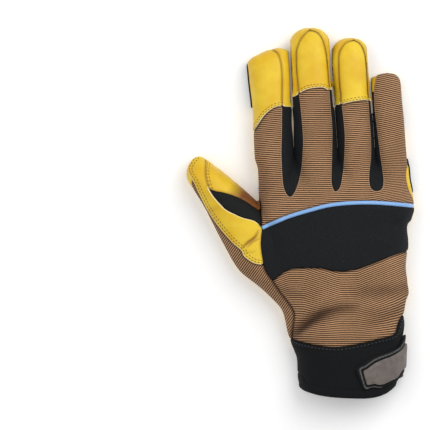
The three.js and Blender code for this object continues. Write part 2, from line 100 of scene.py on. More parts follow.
FINGER_SIZES = {
    "index": FingerSize(27.6, 72.5, 21.0, 2.2, 0.45),
    "middle": FingerSize(28.6, 87.0, 22.0, 3.2, 0.0),
    "ring": FingerSize(24.2, 81.5, 21.0, 3.6, 0.0),
    "little": FingerSize(20.6, 57.5, 18.5, 4.3, 0.1),
}
THUMB_SIZE = FingerSize(30.0, 132.0, 25.0, 30.0, 0.0)


class StallRow(NamedTuple):
    """A section of a finger or the thumb: place, shift to the outer side, width and height shares."""

    along: float
    shift: float
    width: float
    height: float


INDEX_ROWS = [StallRow(*row) for row in (
    (0.0, -0.05, 0.86, 1.2), (0.3, -0.075, 0.89, 1.1), (0.38, -0.035, 0.97, 1.06),
    (0.7, -0.03, 0.99, 0.98), (0.88, -0.01, 1.04, 0.92), (0.935, 0.012, 1.02, 0.86),
    (0.968, 0.074, 0.92, 0.78), (0.99, 0.114, 0.72, 0.68), (1.003, 0.122, 0.52, 0.56),
    (1.01, 0.13, 0.3, 0.45),
)]
MIDDLE_ROWS = [StallRow(*row) for row in (
    (0.0, 0.0, 0.9, 1.2), (0.38, 0.0, 1.04, 1.06), (0.7, 0.0, 1.04, 0.98), (0.88, 0.0, 1.01, 0.92),
    (0.935, 0.0, 0.95, 0.86), (0.968, 0.0, 0.84, 0.77), (0.992, 0.0, 0.62, 0.66), (1.01, 0.0, 0.36, 0.5),
)]
RING_ROWS = [StallRow(*row) for row in (
    (0.0, 0.0, 0.9, 1.2), (0.38, 0.0, 1.05, 1.06), (0.7, 0.0, 1.05, 0.98), (0.85, 0.024, 1.1, 0.94),
    (0.9, 0.02, 1.06, 0.89), (0.935, 0.012, 0.99, 0.83), (0.958, 0.012, 0.9, 0.77),
    (0.989, 0.01, 0.58, 0.64), (1.0, 0.01, 0.38, 0.5),
)]
LITTLE_ROWS = [StallRow(*row) for row in (
    (0.0, 0.02, 0.92, 1.2), (0.38, 0.02, 1.03, 1.06), (0.7, 0.025, 1.05, 0.98), (0.88, 0.05, 1.07, 0.9),
    (0.935, 0.05, 1.03, 0.83), (0.968, 0.06, 0.9, 0.74), (0.99, 0.087, 0.68, 0.64),
    (1.0, 0.075, 0.45, 0.5),
)]
FINGER_ROWS = {"index": INDEX_ROWS, "middle": MIDDLE_ROWS, "ring": RING_ROWS, "little": LITTLE_ROWS}
THUMB_ROWS = [StallRow(*row) for row in (
    (0.01, -0.24, 0.8, 0.62), (0.15, -0.31, 0.87, 0.84), (0.22, -0.28, 0.945, 0.92),
    (0.29, -0.23, 1.07, 0.98), (0.43, -0.17, 1.4, 0.98), (0.58, -0.1, 1.26, 0.94),
    (0.7, -0.045, 1.08, 0.94), (0.8, 0.018, 0.92, 0.93), (0.9, 0.1, 0.77, 0.86),
    (0.965, 0.16, 0.65, 0.74), (1.0, 0.15, 0.5, 0.6), (1.03, 0.11, 0.24, 0.45),
)]


class CrossRow(NamedTuple):
    """A section across the hand or the cuff: place, left and right edges, height and lift shares."""

    along: float
    left: float
    right: float
    height: float
    lift: float


HAND_ROWS = [CrossRow(*row) for row in (
    (-0.297, -0.366, 0.372, 0.93, 0.6), (-0.243, -0.38, 0.38, 0.87, 1.2),
    (-0.2, -0.39, 0.378, 0.86, 1.0), (-0.157, -0.403, 0.386, 0.9, 0.3),
    (-0.108, -0.455, 0.395, 0.94, 0.0), (-0.059, -0.51, 0.414, 0.96, 0.0),
    (-0.011, -0.54, 0.406, 0.98, 0.0), (0.086, -0.57, 0.395, 1.01, 0.0),
    (0.184, -0.58, 0.408, 1.02, 0.0), (0.281, -0.58, 0.395, 1.0, 0.0), (0.4, -0.56, 0.446, 0.94, 0.0),
    (0.486, -0.55, 0.432, 0.83, 0.0), (0.551, -0.548, 0.415, 0.66, 0.0), (0.6, -0.55, 0.408, 0.5, 0.0),
    (0.645, -0.55, 0.38, 0.34, 0.0),
)]
CUFF_ROWS = [CrossRow(*row) for row in (
    (1.12, -0.44, 0.455, 0.98, 0.0), (0.8, -0.445, 0.46, 1.0, 0.0), (0.3, -0.45, 0.465, 0.99, 0.0),
    (0.06, -0.49, 0.472, 0.96, 0.0),
)]


def hand(across: float, along: float) -> Array:
    """A plan point of the hand: across in knuckle spans, along in palm lengths, from the origin."""
    return np.array([across * SIZES.knuckle_span, along * SIZES.palm_length])


def cuff(across: float, down: float) -> Array:
    """A plan point of the cuff: across in cuff widths from its middle, down in cuff lengths."""
    top = hand(SIZES.cuff_centre, SIZES.cuff_top)
    return top + np.array([across * SIZES.cuff_width, -down * SIZES.cuff_length])


@dataclass(frozen=True)
class Stall:
    """The frame of a finger or the thumb, which leans to the thumb side by some degrees."""

    start: tuple[float, float]
    lean: float
    length: float
    half: float

    @property
    def direction(self) -> Array:
        """The way that the stall points, in plan."""
        turn = math.radians(self.lean)
        return np.array([-math.sin(turn), math.cos(turn)])

    @property
    def side(self) -> Array:
        """The way across the stall, to the little finger's side."""
        turn = math.radians(self.lean)
        return np.array([math.cos(turn), math.sin(turn)])

    def at(self, along: float, across: float) -> Array:
        """A plan point at shares of the stall's length and half width."""
        return np.array(self.start) + along * self.length * self.direction + across * self.half * self.side


def finger_frames() -> dict[str, Stall]:
    """The frames of the four fingers, side by side from the thumb side.

    Returns:
        A frame for each finger's name.
    """
    frames = {}
    left, web = hand(SIZES.knuckle_left, SIZES.web_line)
    for name, size in FINGER_SIZES.items():
        frames[name] = Stall((left + size.width / 2, web), size.lean, size.length, size.width / 2)
        left += size.width + SIZES.finger_gap
    return frames


FINGERS = finger_frames()
INDEX, MIDDLE, RING, LITTLE = FINGERS.values()
THUMB = Stall(tuple(hand(-0.292, -0.27)), THUMB_SIZE.lean, THUMB_SIZE.length, -THUMB_SIZE.width)


def smooth_between(x: Array, places: Sequence[float], values: Sequence[float]) -> Array:
    """Smooth values between a few rows, without overshoot.

    Args:
        x: Where the values are wanted.
        places: The rows' places, rising.
        values: The rows' values.

    Returns:
        One value for each x.
    """
    xs, ys = np.asarray(places, float), np.asarray(values, float)
    step = np.diff(xs)
    slope = np.diff(ys) / step
    tangent = np.concatenate([[slope[0]], np.zeros(len(slope) - 1), [slope[-1]]])
    same = slope[:-1] * slope[1:] > 0
    before, after = slope[:-1][same], slope[1:][same]
    near, wide = (2 * step[1:] + step[:-1])[same], (step[1:] + 2 * step[:-1])[same]
    tangent[1:-1][same] = (near + wide) / (near / before + wide / after)
    k = np.clip(np.searchsorted(xs, x) - 1, 0, len(step) - 1)
    t = np.clip((x - xs[k]) / step[k], 0, 1)
    low = ys[k] * (1 + 2 * t) * (1 - t) ** 2 + step[k] * tangent[k] * t * (1 - t) ** 2
    high = ys[k + 1] * t * t * (3 - 2 * t) + step[k] * tangent[k + 1] * t * t * (t - 1)
    return low + high


def unit(vectors: Array) -> Array:
    """Vectors brought to length 1."""
    return vectors / np.maximum(np.linalg.norm(vectors, axis=-1, keepdims=True), 1e-9)


def soft_min(a: Array, b: Array, reach: float) -> Array:
    """The smaller of two fields, blended where they differ by less than reach."""
    overlap = np.maximum(reach - np.abs(a - b), 0) / reach
    return np.minimum(a, b) - overlap * overlap * reach / 4


def soft_max(a: Array, b: Array, reach: float) -> Array:
    """The larger of two fields, blended where they differ by less than reach."""
    return -soft_min(-a, -b, reach)


class Limb:
    """A soft tube, flat below and domed above, as a distance field that is negative inside."""

    SAMPLES = 400
    STEP = 0.25
    SIDE_POWER = 2.353
    DOME_POWER = 2.222
    SKIN_POWER = 0.435

    def __init__(
        self, stall: Stall, places: Sequence[float], columns: dict[str, Sequence[float]], slant: float = 0.0
    ) -> None:
        """Takes the sections of a tube.

        Args:
            stall: The frame that the tube runs along.
            places: Where each section is along the frame, in millimetres from its start.
            columns: centre, half, top and bottom of each section, in millimetres.
            slant: How far the end leans, as a share of the distance across.
        """
        self.stall = stall
        self.slant = slant
        self.start, self.end = places[0], places[-1]
        self.places = np.linspace(self.start, self.end, self.SAMPLES)
        self.columns = {name: smooth_between(self.places, places, rows) for name, rows in columns.items()}

    def box(self) -> Array:
        """Lowest and highest plan corners of the tube, with room round it.

        Returns:
            The two corners.
        """
        corners = [
            np.array(self.stall.start) + place * self.stall.direction + across * self.stall.side
            for place in (self.start, self.end)
            for centre, half in [(self.columns["centre"], self.columns["half"])]
            for across in ((centre - half).min(), (centre + half).max())
        ]
        return np.array([np.min(corners, axis=0) - FAR_AWAY, np.max(corners, axis=0) + FAR_AWAY])

    def _skin(self, x: Array, y: Array, z: Array) -> tuple[Array, ...]:
        """The section's own measure, 0 on the skin, with the place along and the floor there.

        Args:
            x: Across.
            y: Along the hand.
            z: Up.

        Returns:
            Three arrays of the points' shape.
        """
        direction, side = self.stall.direction, self.stall.side
        from_x, from_y = x - self.stall.start[0], y - self.stall.start[1]
        along = from_x * direction[0] + from_y * direction[1]
        across = from_x * side[0] + from_y * side[1]
        if self.slant:
            share = np.clip((along - self.start) / (self.end - self.start), 0, 1)
            along = along - self.slant * share**6 * across
        centre, half, top, bottom = (
            np.interp(along, self.places, self.columns[name])
            for name in ("centre", "half", "top", "bottom")
        )
        belt = bottom + np.minimum(SIZES.seam_height - SIZES.leather_floor, 0.4 * (top - bottom))
        wide = np.abs((across - centre) / half) ** self.SIDE_POWER
        rise = np.maximum((z - belt) / (top - belt), 0) ** self.DOME_POWER
        drop = (np.maximum(belt - z, 0) / (belt - bottom) / 1.15) ** 4
        return (wide + rise + drop) ** self.SKIN_POWER - 1, along, bottom

    def distance(self, x: Array, y: Array, z: Array) -> Array:
        """Roughly how far each point is from the tube, negative inside.

        Args:
            x: Across, in any shape that goes with y and z.
            y: Along the hand.
            z: Up.

        Returns:
            The distances in millimetres.
        """
        skin, along, bottom = self._skin(x, y, z)
        slopes = [
            (self._skin(x + dx, y + dy, z + dz)[0] - skin) / self.STEP
            for dx, dy, dz in ((self.STEP, 0, 0), (0, self.STEP, 0), (0, 0, self.STEP))
        ]
        steepness = np.sqrt(sum(slope * slope for slope in slopes))
        distance = skin / np.maximum(steepness, 0.004)
        ends = np.maximum(along - self.end, self.start - along)
        return soft_max(soft_max(distance, ends, 2.0), bottom - z, 0.8)

    def on_grid(self, x: Array, y: Array, z: Array) -> Array:
        """The distances on a grid, of which the tube fills only a part.

        Args:
            x: The grid's places across.
            y: Its places along the hand.
            z: Its heights.

        Returns:
            The distances in millimetres, no more than a cap.
        """
        low, high = self.box()
        across = slice(*np.searchsorted(x[:, 0, 0], (low[0], high[0])))
        along = slice(*np.searchsorted(y[0, :, 0], (low[1], high[1])))
        whole = np.full(np.broadcast(x, y, z).shape, FAR_AWAY, np.float32)
        whole[across, along] = self.distance(x[across], y[:, along], z)
        return whole


def stall_limb(stall: Stall, rows: Sequence[StallRow], size: FingerSize, root: float = 0.0) -> Limb:
    """The tube of a finger or the thumb, from its root inside the hand to its tip.

    Args:
        stall: The frame that it runs along.
        rows: Its sections.
        size: Its sizes.
        root: How far it reaches back into the hand.

    Returns:
        The tube.
    """
    columns = {
        "centre": [-row.shift * size.width for row in rows],
        "half": [size.width / 2 * row.width for row in rows],
        "top": [SIZES.leather_floor + size.height * row.height for row in rows],
        "bottom": [SIZES.leather_floor for _ in rows],
    }
    return Limb(stall, [row.along * (root + size.length) - root for row in rows], columns, size.slant)


def hand_limb() -> Limb:
    """The tube of the cuff and the hand, from beyond the mouth to the webs.

    Returns:
        The tube.
    """
    rows = []
    for row in CUFF_ROWS:
        left, right = cuff(row.left, row.along), cuff(row.right, row.along)
        rows.append((left[1], left[0], right[0], SIZES.cuff_height * row.height, SIZES.cuff_floor))
    for row in HAND_ROWS:
        left, right = hand(row.left, row.along), hand(row.right, row.along)
        top = SIZES.leather_floor + SIZES.palm_height * row.height
        rows.append((left[1], left[0], right[0], top, SIZES.leather_floor + row.lift * SIZES.wall))
    columns = {
        "centre": [(left + right) / 2 for _, left, right, _, _ in rows],
        "half": [(right - left) / 2 for _, left, right, _, _ in rows],
        "top": [top for _, _, _, top, _ in rows],
        "bottom": [bottom for *_, bottom in rows],
    }
    return Limb(Stall((0.0, 0.0), 0.0, 1.0, 1.0), [row[0] for row in rows], columns)


@dataclass(frozen=True)
class Gap:
    """The gap between two fingers, which starts a little above the web and may bend aside midway."""

    left: str
    right: str
    bend: float = 0.0
    opening: float = 0.0

    START = 7.0

    def middle(self, reach: float) -> Array:
        """The straight line between the fingers, by millimetres from the webs."""
        one, other = FINGERS[self.left], FINGERS[self.right]
        return (one.at(reach / one.length, 1) + other.at(reach / other.length, -1)) / 2

    def at(self, reach: float) -> Array:
        """The gap's own middle, by millimetres from the webs."""
        return self.middle(reach) + (self.aside(reach), 0)

    def aside(self, reach: Array) -> Array:
        """How far the gap bends to the right."""
        return self.bend * np.exp(-(((reach - 55) / 22) ** 2))

    def distance(self, x: Array, y: Array, half: float) -> Array:
        """How far points are from the open gap, negative in it.

        Args:
            x: Across.
            y: Along the hand.
            half: Half the gap's width.

        Returns:
            The distances in millimetres.
        """
        start = self.middle(self.START)
        run = unit(self.middle(90.0) - start)
        along = (x - start[0]) * run[0] + (y - start[1]) * run[1]
        across = (x - start[0]) * run[1] - (y - start[1]) * run[0]
        room = half + self.opening * np.exp(-(((along - 17) / 8) ** 2))
        return np.maximum(np.abs(across - self.aside(along + self.START)) - room, -along)


GAPS = {
    "index_middle": Gap("index", "middle", 0.3, 0.6),
    "middle_ring": Gap("middle", "ring", -1.4),
    "ring_little": Gap("ring", "little"),
}


class Form:
    """The whole glove as one distance field, and the mesh of its skin."""

    PITCH = 0.79
    GAP_HALF = 0.4
    FINGER_BLEND = 3.0
    THUMB_BLEND = 2.0
    STEP = 0.1

    def __init__(self) -> None:
        """Gathers the tubes."""
        self.hand = hand_limb()
        self.thumb = stall_limb(THUMB, THUMB_ROWS, THUMB_SIZE)
        self.fingers = [
            stall_limb(FINGERS[name], FINGER_ROWS[name], size, SIZES.finger_root)
            for name, size in FINGER_SIZES.items()
        ]

    def field(self, x: Array, y: Array, z: Array, on_grid: bool = False) -> Array:
        """Distance to the glove's skin, negative inside.

        Args:
            x: Across.
            y: Along the hand.
            z: Up.
            on_grid: Whether the arrays are the axes of a grid.

        Returns:
            The distances in millimetres.
        """
        palm, thumb, *fingers = (
            limb.on_grid(x, y, z) if on_grid else limb.distance(x, y, z)
            for limb in (self.hand, self.thumb, *self.fingers)
        )
        glove = soft_min(palm, np.minimum.reduce(fingers), self.FINGER_BLEND)
        for gap in GAPS.values():
            glove = soft_max(glove, -gap.distance(x, y, self.GAP_HALF), 0.8)
        return soft_min(glove, thumb, self.THUMB_BLEND)

    def skin(self) -> "Skin":
        """The mesh of the skin: a surface net over a grid, pulled on to the field's zero.

        Returns:
            The skin, in faces.
        """
        low, high = np.array([-112.0, -86.0, -1.2]), np.array([52.0, 174.0, 36.0])
        counts = np.ceil((high - low) / self.PITCH).astype(int)
        axes = [low[k] + self.PITCH * np.arange(counts[k]) for k in range(3)]
        x, y, z = axes[0][:, None, None], axes[1][None, :, None], axes[2][None, None, :]
        points, quads = surface_net(self.field(x, y, z, on_grid=True), low, self.PITCH)
        for _ in range(3):
            points = even_out(points, quads)
            value = self.field(*points.T)
            ahead = [self.field(*(points + self.STEP * axis).T) - value for axis in np.eye(3)]
            slope = np.stack(ahead, axis=1) / self.STEP
            steepness = np.maximum((slope * slope).sum(axis=1), 0.2)
            move = slope * (value / steepness)[:, None]
            points = points - np.clip(move, -self.PITCH, self.PITCH)
        faces = np.concatenate([quads[:, [0, 1, 2]], quads[:, [0, 2, 3]]])
        return Skin(points, faces)


def surface_net(values: Array, low: Array, pitch: float) -> tuple[Points, Array]:
    """Quads round the zero of a field on a grid.

    Args:
        values: The field, negative inside.
        low: The place of the grid's first value.
        pitch: The grid's step.

    Returns:
        The points and the quads, which face out.
    """
    inside = values < 0
    corners = [
        inside[i : i + values.shape[0] - 1, j : j + values.shape[1] - 1, k : k + values.shape[2] - 1]
        for i in (0, 1)
        for j in (0, 1)
        for k in (0, 1)
    ]
    count = np.sum([corner.astype(np.int8) for corner in corners], axis=0)
    cells = np.argwhere((count > 0) & (count < 8))
    number = np.full(count.shape, -1)
    number[tuple(cells.T)] = np.arange(len(cells))
    total, crossings = np.zeros((len(cells), 3)), np.zeros(len(cells))
    for axis in range(3):
        step = np.eye(3, dtype=int)[axis]
        others = [np.eye(3, dtype=int)[k] for k in range(3) if k != axis]
        for one in (0, 1):
            for two in (0, 1):
                start = cells + one * others[0] + two * others[1]
                a = values[tuple(start.T)]
                b = values[tuple((start + step).T)]
                crossed = (a < 0) != (b < 0)
                share = a[crossed] / (a[crossed] - b[crossed])
                total[crossed] += start[crossed] - cells[crossed] + share[:, None] * step
                crossings[crossed] += 1
    points = low + pitch * (cells + total / crossings[:, None])
    quads = []
    for axis in range(3):
        step = np.eye(3, dtype=int)[axis]
        one, two = (np.eye(3, dtype=int)[(axis + k) % 3] for k in (1, 2))
        size = np.array(values.shape) - step
        a = inside[: size[0], : size[1], : size[2]]
        b = inside[step[0] :, step[1] :, step[2] :]
        edges = np.argwhere(a != b)
        edges = edges[np.all((edges - one - two) >= 0, axis=1)]
        ring = [number[tuple((edges + offset).T)] for offset in (-one - two, -two, 0 * one, -one)]
        ring = np.stack(ring, axis=1)
        outward = a[tuple(edges.T)]
        ring[~outward] = ring[~outward][:, ::-1]
        quads.append(ring)
    return points, np.concatenate(quads)


def even_out(points: Points, faces: Array) -> Points:
    """Points moved halfway to the middle of their neighbours.

    Args:
        points: The mesh's points.
        faces: Its faces.

    Returns:
        The moved points.
    """
    total, count = np.zeros_like(points), np.zeros(len(points))
    sides = faces.shape[1]
    for k in range(sides):
        a, b = faces[:, k], faces[:, (k + 1) % sides]
        for axis in range(3):
            total[:, axis] += np.bincount(a, points[b, axis], len(points))
        count += np.bincount(a, minlength=len(points))
    return 0.5 * points + 0.5 * total / np.maximum(count, 1)[:, None]


def normals_of(points: Points, faces: Array) -> Array:
    """Normals of a triangle mesh at its points, weighted by area.

    Args:
        points: The mesh's points.
        faces: Its faces.

    Returns:
        A unit vector for each point.
    """
    a, b, c = (points[faces[:, k]] for k in range(3))
    face = np.cross(b - a, c - a)
    total = np.stack(
        [np.bincount(faces.ravel(), np.repeat(face[:, axis], 3), len(points)) for axis in range(3)],
        axis=1,
    )
    return unit(total)


def curve_through(points: Sequence[Array], steps: int = CURVE_STEPS) -> Points:
    """A smooth open line through plan points.

    Args:
        points: The points that the line passes.
        steps: How many steps it takes from one point to the next.

    Returns:
        The line's points.
    """
    given = np.array(points)
    ends = np.concatenate([given[:1], given, given[-1:]])
    t = (np.arange(steps) / steps)[:, None]
    pieces = []
    for k in range(len(given) - 1):
        before, start, end, after = ends[k : k + 4]
        pull, push = (end - before) / 2, (after - start) / 2
        cubic = (2 * (start - end) + pull + push) * t**3
        square = (3 * (end - start) - 2 * pull - push) * t**2
        pieces.append(cubic + square + pull * t + start)
    return np.concatenate([*pieces, given[-1:]])


def through(*stops: object, closed: bool = False) -> Points:
    """A smooth line through plan points, most of them given as shares of a piece.

    Args:
        stops: Functions that give places, pairs of shares for the last of them, and plan points.
        closed: Whether the line closes on itself.

    Returns:
        The line's points.
    """
    place, points = hand, []
    for stop in stops:
        if callable(stop):
            place = stop
        else:
            points.append(place(*stop) if isinstance(stop, tuple) else stop)
    if not closed:
        return curve_through(points)
    return curve_through([points[-1], *points, *points[:2]])[CURVE_STEPS : -CURVE_STEPS - 1]


class Line:
    """A seam line in plan, which measures how far points are from it."""

    def __init__(self, points: Points, closed: bool = False) -> None:
        """Takes the points of the line.

        Args:
            points: Plan points.
            closed: Whether the line closes on itself, and then is positive inside.
        """
        self.points = np.asarray(points, float)
        self.closed = closed
        self.a = self.points if closed else self.points[:-1]
        self.b = np.roll(self.points, -1, axis=0) if closed else self.points[1:]

    def _nearby(self, points: Points) -> Array:
        """Which points are near enough to be measured."""
        low, high = self.points.min(axis=0) - FAR_AWAY / 2, self.points.max(axis=0) + FAR_AWAY / 2
        return np.all((points[:, :2] > low) & (points[:, :2] < high), axis=1)

    def distance(self, points: Points) -> Array:
        """How far each point is from the line in plan, never past a cap.

        Args:
            points: What is measured.

        Returns:
            The distances in millimetres.
        """
        out = np.full(len(points), FAR_AWAY)
        near = np.flatnonzero(self._nearby(points))
        best = np.full(len(near), FAR_AWAY**2)
        x, y = points[near, 0], points[near, 1]
        for a, b in zip(self.a, self.b):
            run = b - a
            length = max(run @ run, 1e-12)
            share = np.clip(((x - a[0]) * run[0] + (y - a[1]) * run[1]) / length, 0, 1)
            away = (x - a[0] - share * run[0]) ** 2 + (y - a[1] - share * run[1]) ** 2
            best = np.minimum(best, away)
        out[near] = np.sqrt(best)
        return out

    def inside(self, points: Points) -> Array:
        """The distance of each point from the closed line, positive inside it.

        Args:
            points: What is measured.

        Returns:
            The distances in millimetres.
        """
        out = np.full(len(points), -FAR_AWAY)
        near = np.flatnonzero(self._nearby(points))
        x, y = points[near, 0], points[near, 1]
        odd = np.zeros(len(near), bool)
        for a, b in zip(self.a, self.b):
            if a[1] == b[1]:
                continue
            crosses = (a[1] > y) != (b[1] > y)
            odd ^= crosses & (x < (b[0] - a[0]) * (y - a[1]) / (b[1] - a[1]) + a[0])
        out[near] = np.where(odd, 1, -1) * self.distance(points[near])
        return out


def outline(*pieces: Sequence[Array]) -> Line:
    """A closed line from lines and single points, one after another."""
    return Line(np.concatenate([np.atleast_2d(np.array(piece)) for piece in pieces]), closed=True)


class SeamLines:
    """The seam lines of the glove in plan, each a smooth line between webs, flanks and corners."""

    def __init__(self) -> None:
        """Lays out the lines."""
        band_corner, band_point = hand(-0.538, 0.281), hand(-0.473, -0.005)
        strip_end, crotch = hand(-0.53, 0.082), hand(-0.547, 0.376)
        web_top, thumb = THUMB.at(0.858, 0.19), THUMB.at
        self.piping = through(
            band_corner, hand, (-0.454, 0.313), (-0.357, 0.345), (-0.233, 0.376), (-0.097, 0.404),
            (0.065, 0.416), (0.227, 0.415), (0.441, 0.4), (0.52, 0.392)
        )
        self.band_edge_top = through(band_corner, hand, (-0.548, 0.19), strip_end)
        self.band_edge_low = through(strip_end, hand, (-0.515, 0.045), band_point)
        self.band_foot = through(
            band_point, hand, (-0.389, 0.049), (-0.311, 0.065), (-0.162, 0.065), (-0.065, 0.049),
            (0.032, 0.054), (0.162, 0.086), (0.292, 0.13), (0.408, 0.157), (0.52, 0.173)
        )
        self.thumb_seam = through(
            band_point, hand, (-0.421, -0.07), (-0.37, -0.124), (-0.337, -0.173), (-0.337, -0.227),
            (-0.347, -0.297), cuff, (-0.505, -0.02), (-0.5, 0.3)
        )
        self.cuff_top = through(
            cuff, (-0.7, -0.1), (-0.516, -0.078), (-0.42, -0.02), (-0.31, 0.03), (-0.133, 0.07),
            (0.0, 0.045), (0.14, -0.01), (0.275, -0.078), (0.37, -0.125), (0.42, -0.19), (0.44, -0.33),
            (0.462, -0.44), (0.5, -0.535), (0.62, -0.75)
        )
        self.strip_edge = through(
            thumb, (1.1, -0.2), (1.045, 0.06), (1.029, 0.21), (1.009, 0.35), (0.973, 0.41),
            (0.924, 0.41), (0.856, 0.44), (0.756, 0.46), (0.655, 0.42), (0.575, 0.35), (0.549, 0.32),
            (0.503, 0.25), (0.476, 0.265), (0.445, 0.22), (0.413, 0.14), strip_end
        )
        self.strip_seam = through(
            thumb, (1.08, -0.3), (1.0, -0.1), (0.937, 0.08), (0.897, 0.15), web_top
        )
        self.web_low = through(
            web_top, thumb, (0.834, 0.19), (0.805, 0.18), (0.762, 0.14), (0.722, 0.09), (0.68, -0.03),
            (0.643, -0.15), (0.598, -0.34), band_corner
        )
        self.web_high = through(
            web_top, thumb, (0.83, 0.08), (0.799, -0.08), (0.749, -0.28), (0.709, -0.4), (0.669, -0.49),
            crotch
        )
        self.web_foot = through(crotch, hand, (-0.542, 0.33), band_corner)
        self.crotch = through(crotch, hand, (-0.553, 0.41), (-0.572, 0.46), (-0.6, 0.5), (-0.605, 0.58))
        self.valleys, self.tip_edges = self._valleys(), self._tip_edges()
        self.mouth = through(
            cuff, (-0.9, 0.5), (-0.5, 0.66), (-0.44, 0.81), (-0.36, 0.9), (-0.2, 0.97), (0, 1),
            (0.19, 1), (0.33, 0.93), (0.42, 0.8), (0.5, 0.62), (0.9, 0.5)
        )

    def _valleys(self) -> dict[str, Points]:
        """The lines round the side walls between the fingers, from one fingertip to the next.

        Returns:
            Plan points by the two fingers' names.
        """
        index, middle, ring, little = INDEX.at, MIDDLE.at, RING.at, LITTLE.at
        middle_top, ring_top = middle(1.0, 0.03), ring(0.982, 0.24)
        return {
            "index_middle": through(
                index, (1.1, 0.05), (1.02, 0.2), (0.974, 0.44), (0.916, 0.55), (0.845, 0.61),
                (0.707, 0.61), (0.487, 0.55), (0.244, 0.49), (0.013, 0.42), (-0.219, 0.44),
                (-0.312, 0.54), hand, (-0.359, 0.45), middle, (-0.247, -1.12), (-0.172, -0.92),
                (-0.076, -0.77), (0.02, -0.68), (0.164, -0.6), (0.405, -0.64), (0.667, -0.73),
                (0.793, -0.71), (0.851, -0.67), (0.926, -0.46), (0.972, -0.21), middle_top
            ),
            "middle_ring": through(
                middle_top, middle, (0.977, 0.38), (0.926, 0.6), (0.857, 0.72), (0.779, 0.78),
                (0.683, 0.81), (0.393, 0.83), (0.247, 0.86), (0.102, 0.81), (-0.09, 0.71),
                (-0.186, 0.66), (-0.235, 0.7), hand, (-0.065, 0.479), ring, (-0.234, -1.1),
                (-0.183, -0.97), (-0.081, -0.84), (0.123, -0.67), (0.278, -0.64), (0.486, -0.72),
                (0.64, -0.76), (0.795, -0.73), (0.877, -0.66), (0.937, -0.42), (0.97, -0.14), ring_top
            ),
            "ring_little": through(
                ring_top, ring, (0.953, 0.55), (0.905, 0.74), (0.832, 0.85), (0.677, 0.88),
                (0.316, 0.87), (0.161, 0.88), (0.007, 0.81), (-0.126, 0.65), (-0.198, 0.61),
                (-0.25, 0.67), hand, (0.198, 0.481), little, (-0.34, -0.81), (-0.248, -0.68),
                (-0.116, -0.72), (0.104, -0.8), (0.28, -0.84), (0.428, -0.88), (0.591, -0.92),
                (0.765, -0.88), (0.88, -0.76), (0.994, -0.54), (1.08, -0.3)
            ),
        }

    def _tip_edges(self) -> dict[str, Points]:
        """The lower edges of the leather tips.

        Returns:
            Plan points by the finger's name.
        """
        index, middle, ring = INDEX.at, MIDDLE.at, RING.at
        return {
            "index": through(
                index, (0.22, -1.15), (0.27, -0.85), (0.39, -0.4), (0.455, 0), (0.48, 0.35),
                (0.475, 0.7), (0.47, 1.0)
            ),
            "middle": through(
                middle, (0.47, -1.1), (0.5, -0.7), (0.52, -0.5), (0.538, -0.2), (0.545, 0.15),
                (0.542, 0.5), (0.524, 0.7), (0.514, 1.02)
            ),
            "ring": through(ring, (0.45, -1.0), (0.455, -0.6), (0.47, 0), (0.475, 0.6), (0.46, 1.0)),
        }


SEAMS = SeamLines()


class Skin:
    """The glove's skin as one triangle mesh, of which the panels are cut."""

    def __init__(self, points: Points, faces: Array) -> None:
        """Takes a closed triangle mesh.

        Args:
            points: Its points in millimetres.
            faces: Three point numbers each.
        """
        self.points = points
        self.faces = faces
        self.normals = normals_of(points, faces)
        self.crease = np.zeros(len(points))

    def press(self, depth: Array, crease: Array) -> None:
        """Moves the skin in along its normals.

        Args:
            depth: How far each point goes in, in millimetres.
            crease: How much painted shade the bottom of a fold gets at each point, from 0 to 1.
        """
        self.points = self.points - self.normals * depth[:, None]
        self.points[:, 2] = np.maximum(self.points[:, 2], 0.35)
        self.normals = normals_of(self.points, self.faces)
        self.crease = crease

    def cut(self, region: Region, inset: float, lift: float) -> "Sheet":
        """The part of the skin inside a region, with a clean edge.

        Args:
            region: Measures points, positive inside.
            inset: How far inside the region the edge runs.
            lift: How high over the skin the region is measured.

        Returns:
            The open sheet.
        """
        points, normals = self.points.copy(), self.normals
        raised = points + lift * normals
        value = region(raised) - inset
        near = np.flatnonzero(np.abs(value) < 0.3 * Form.PITCH)
        if len(near):
            step = 0.05
            here = raised[near]
            slope = np.stack(
                [region(here + step * axis) - inset - value[near] for axis in np.eye(3)], axis=1
            ) / step
            flat = slope - normals[near] * (slope * normals[near]).sum(axis=1)[:, None]
            steepness = (flat * flat).sum(axis=1)
            good = steepness > 0.1
            move = flat[good] * (value[near][good] / steepness[good])[:, None]
            points[near[good]] -= np.clip(move, -0.4 * Form.PITCH, 0.4 * Form.PITCH)
            value[near[good]] = 0.0
        return Sheet.clipped(points, normals, self.crease, self.faces, value)


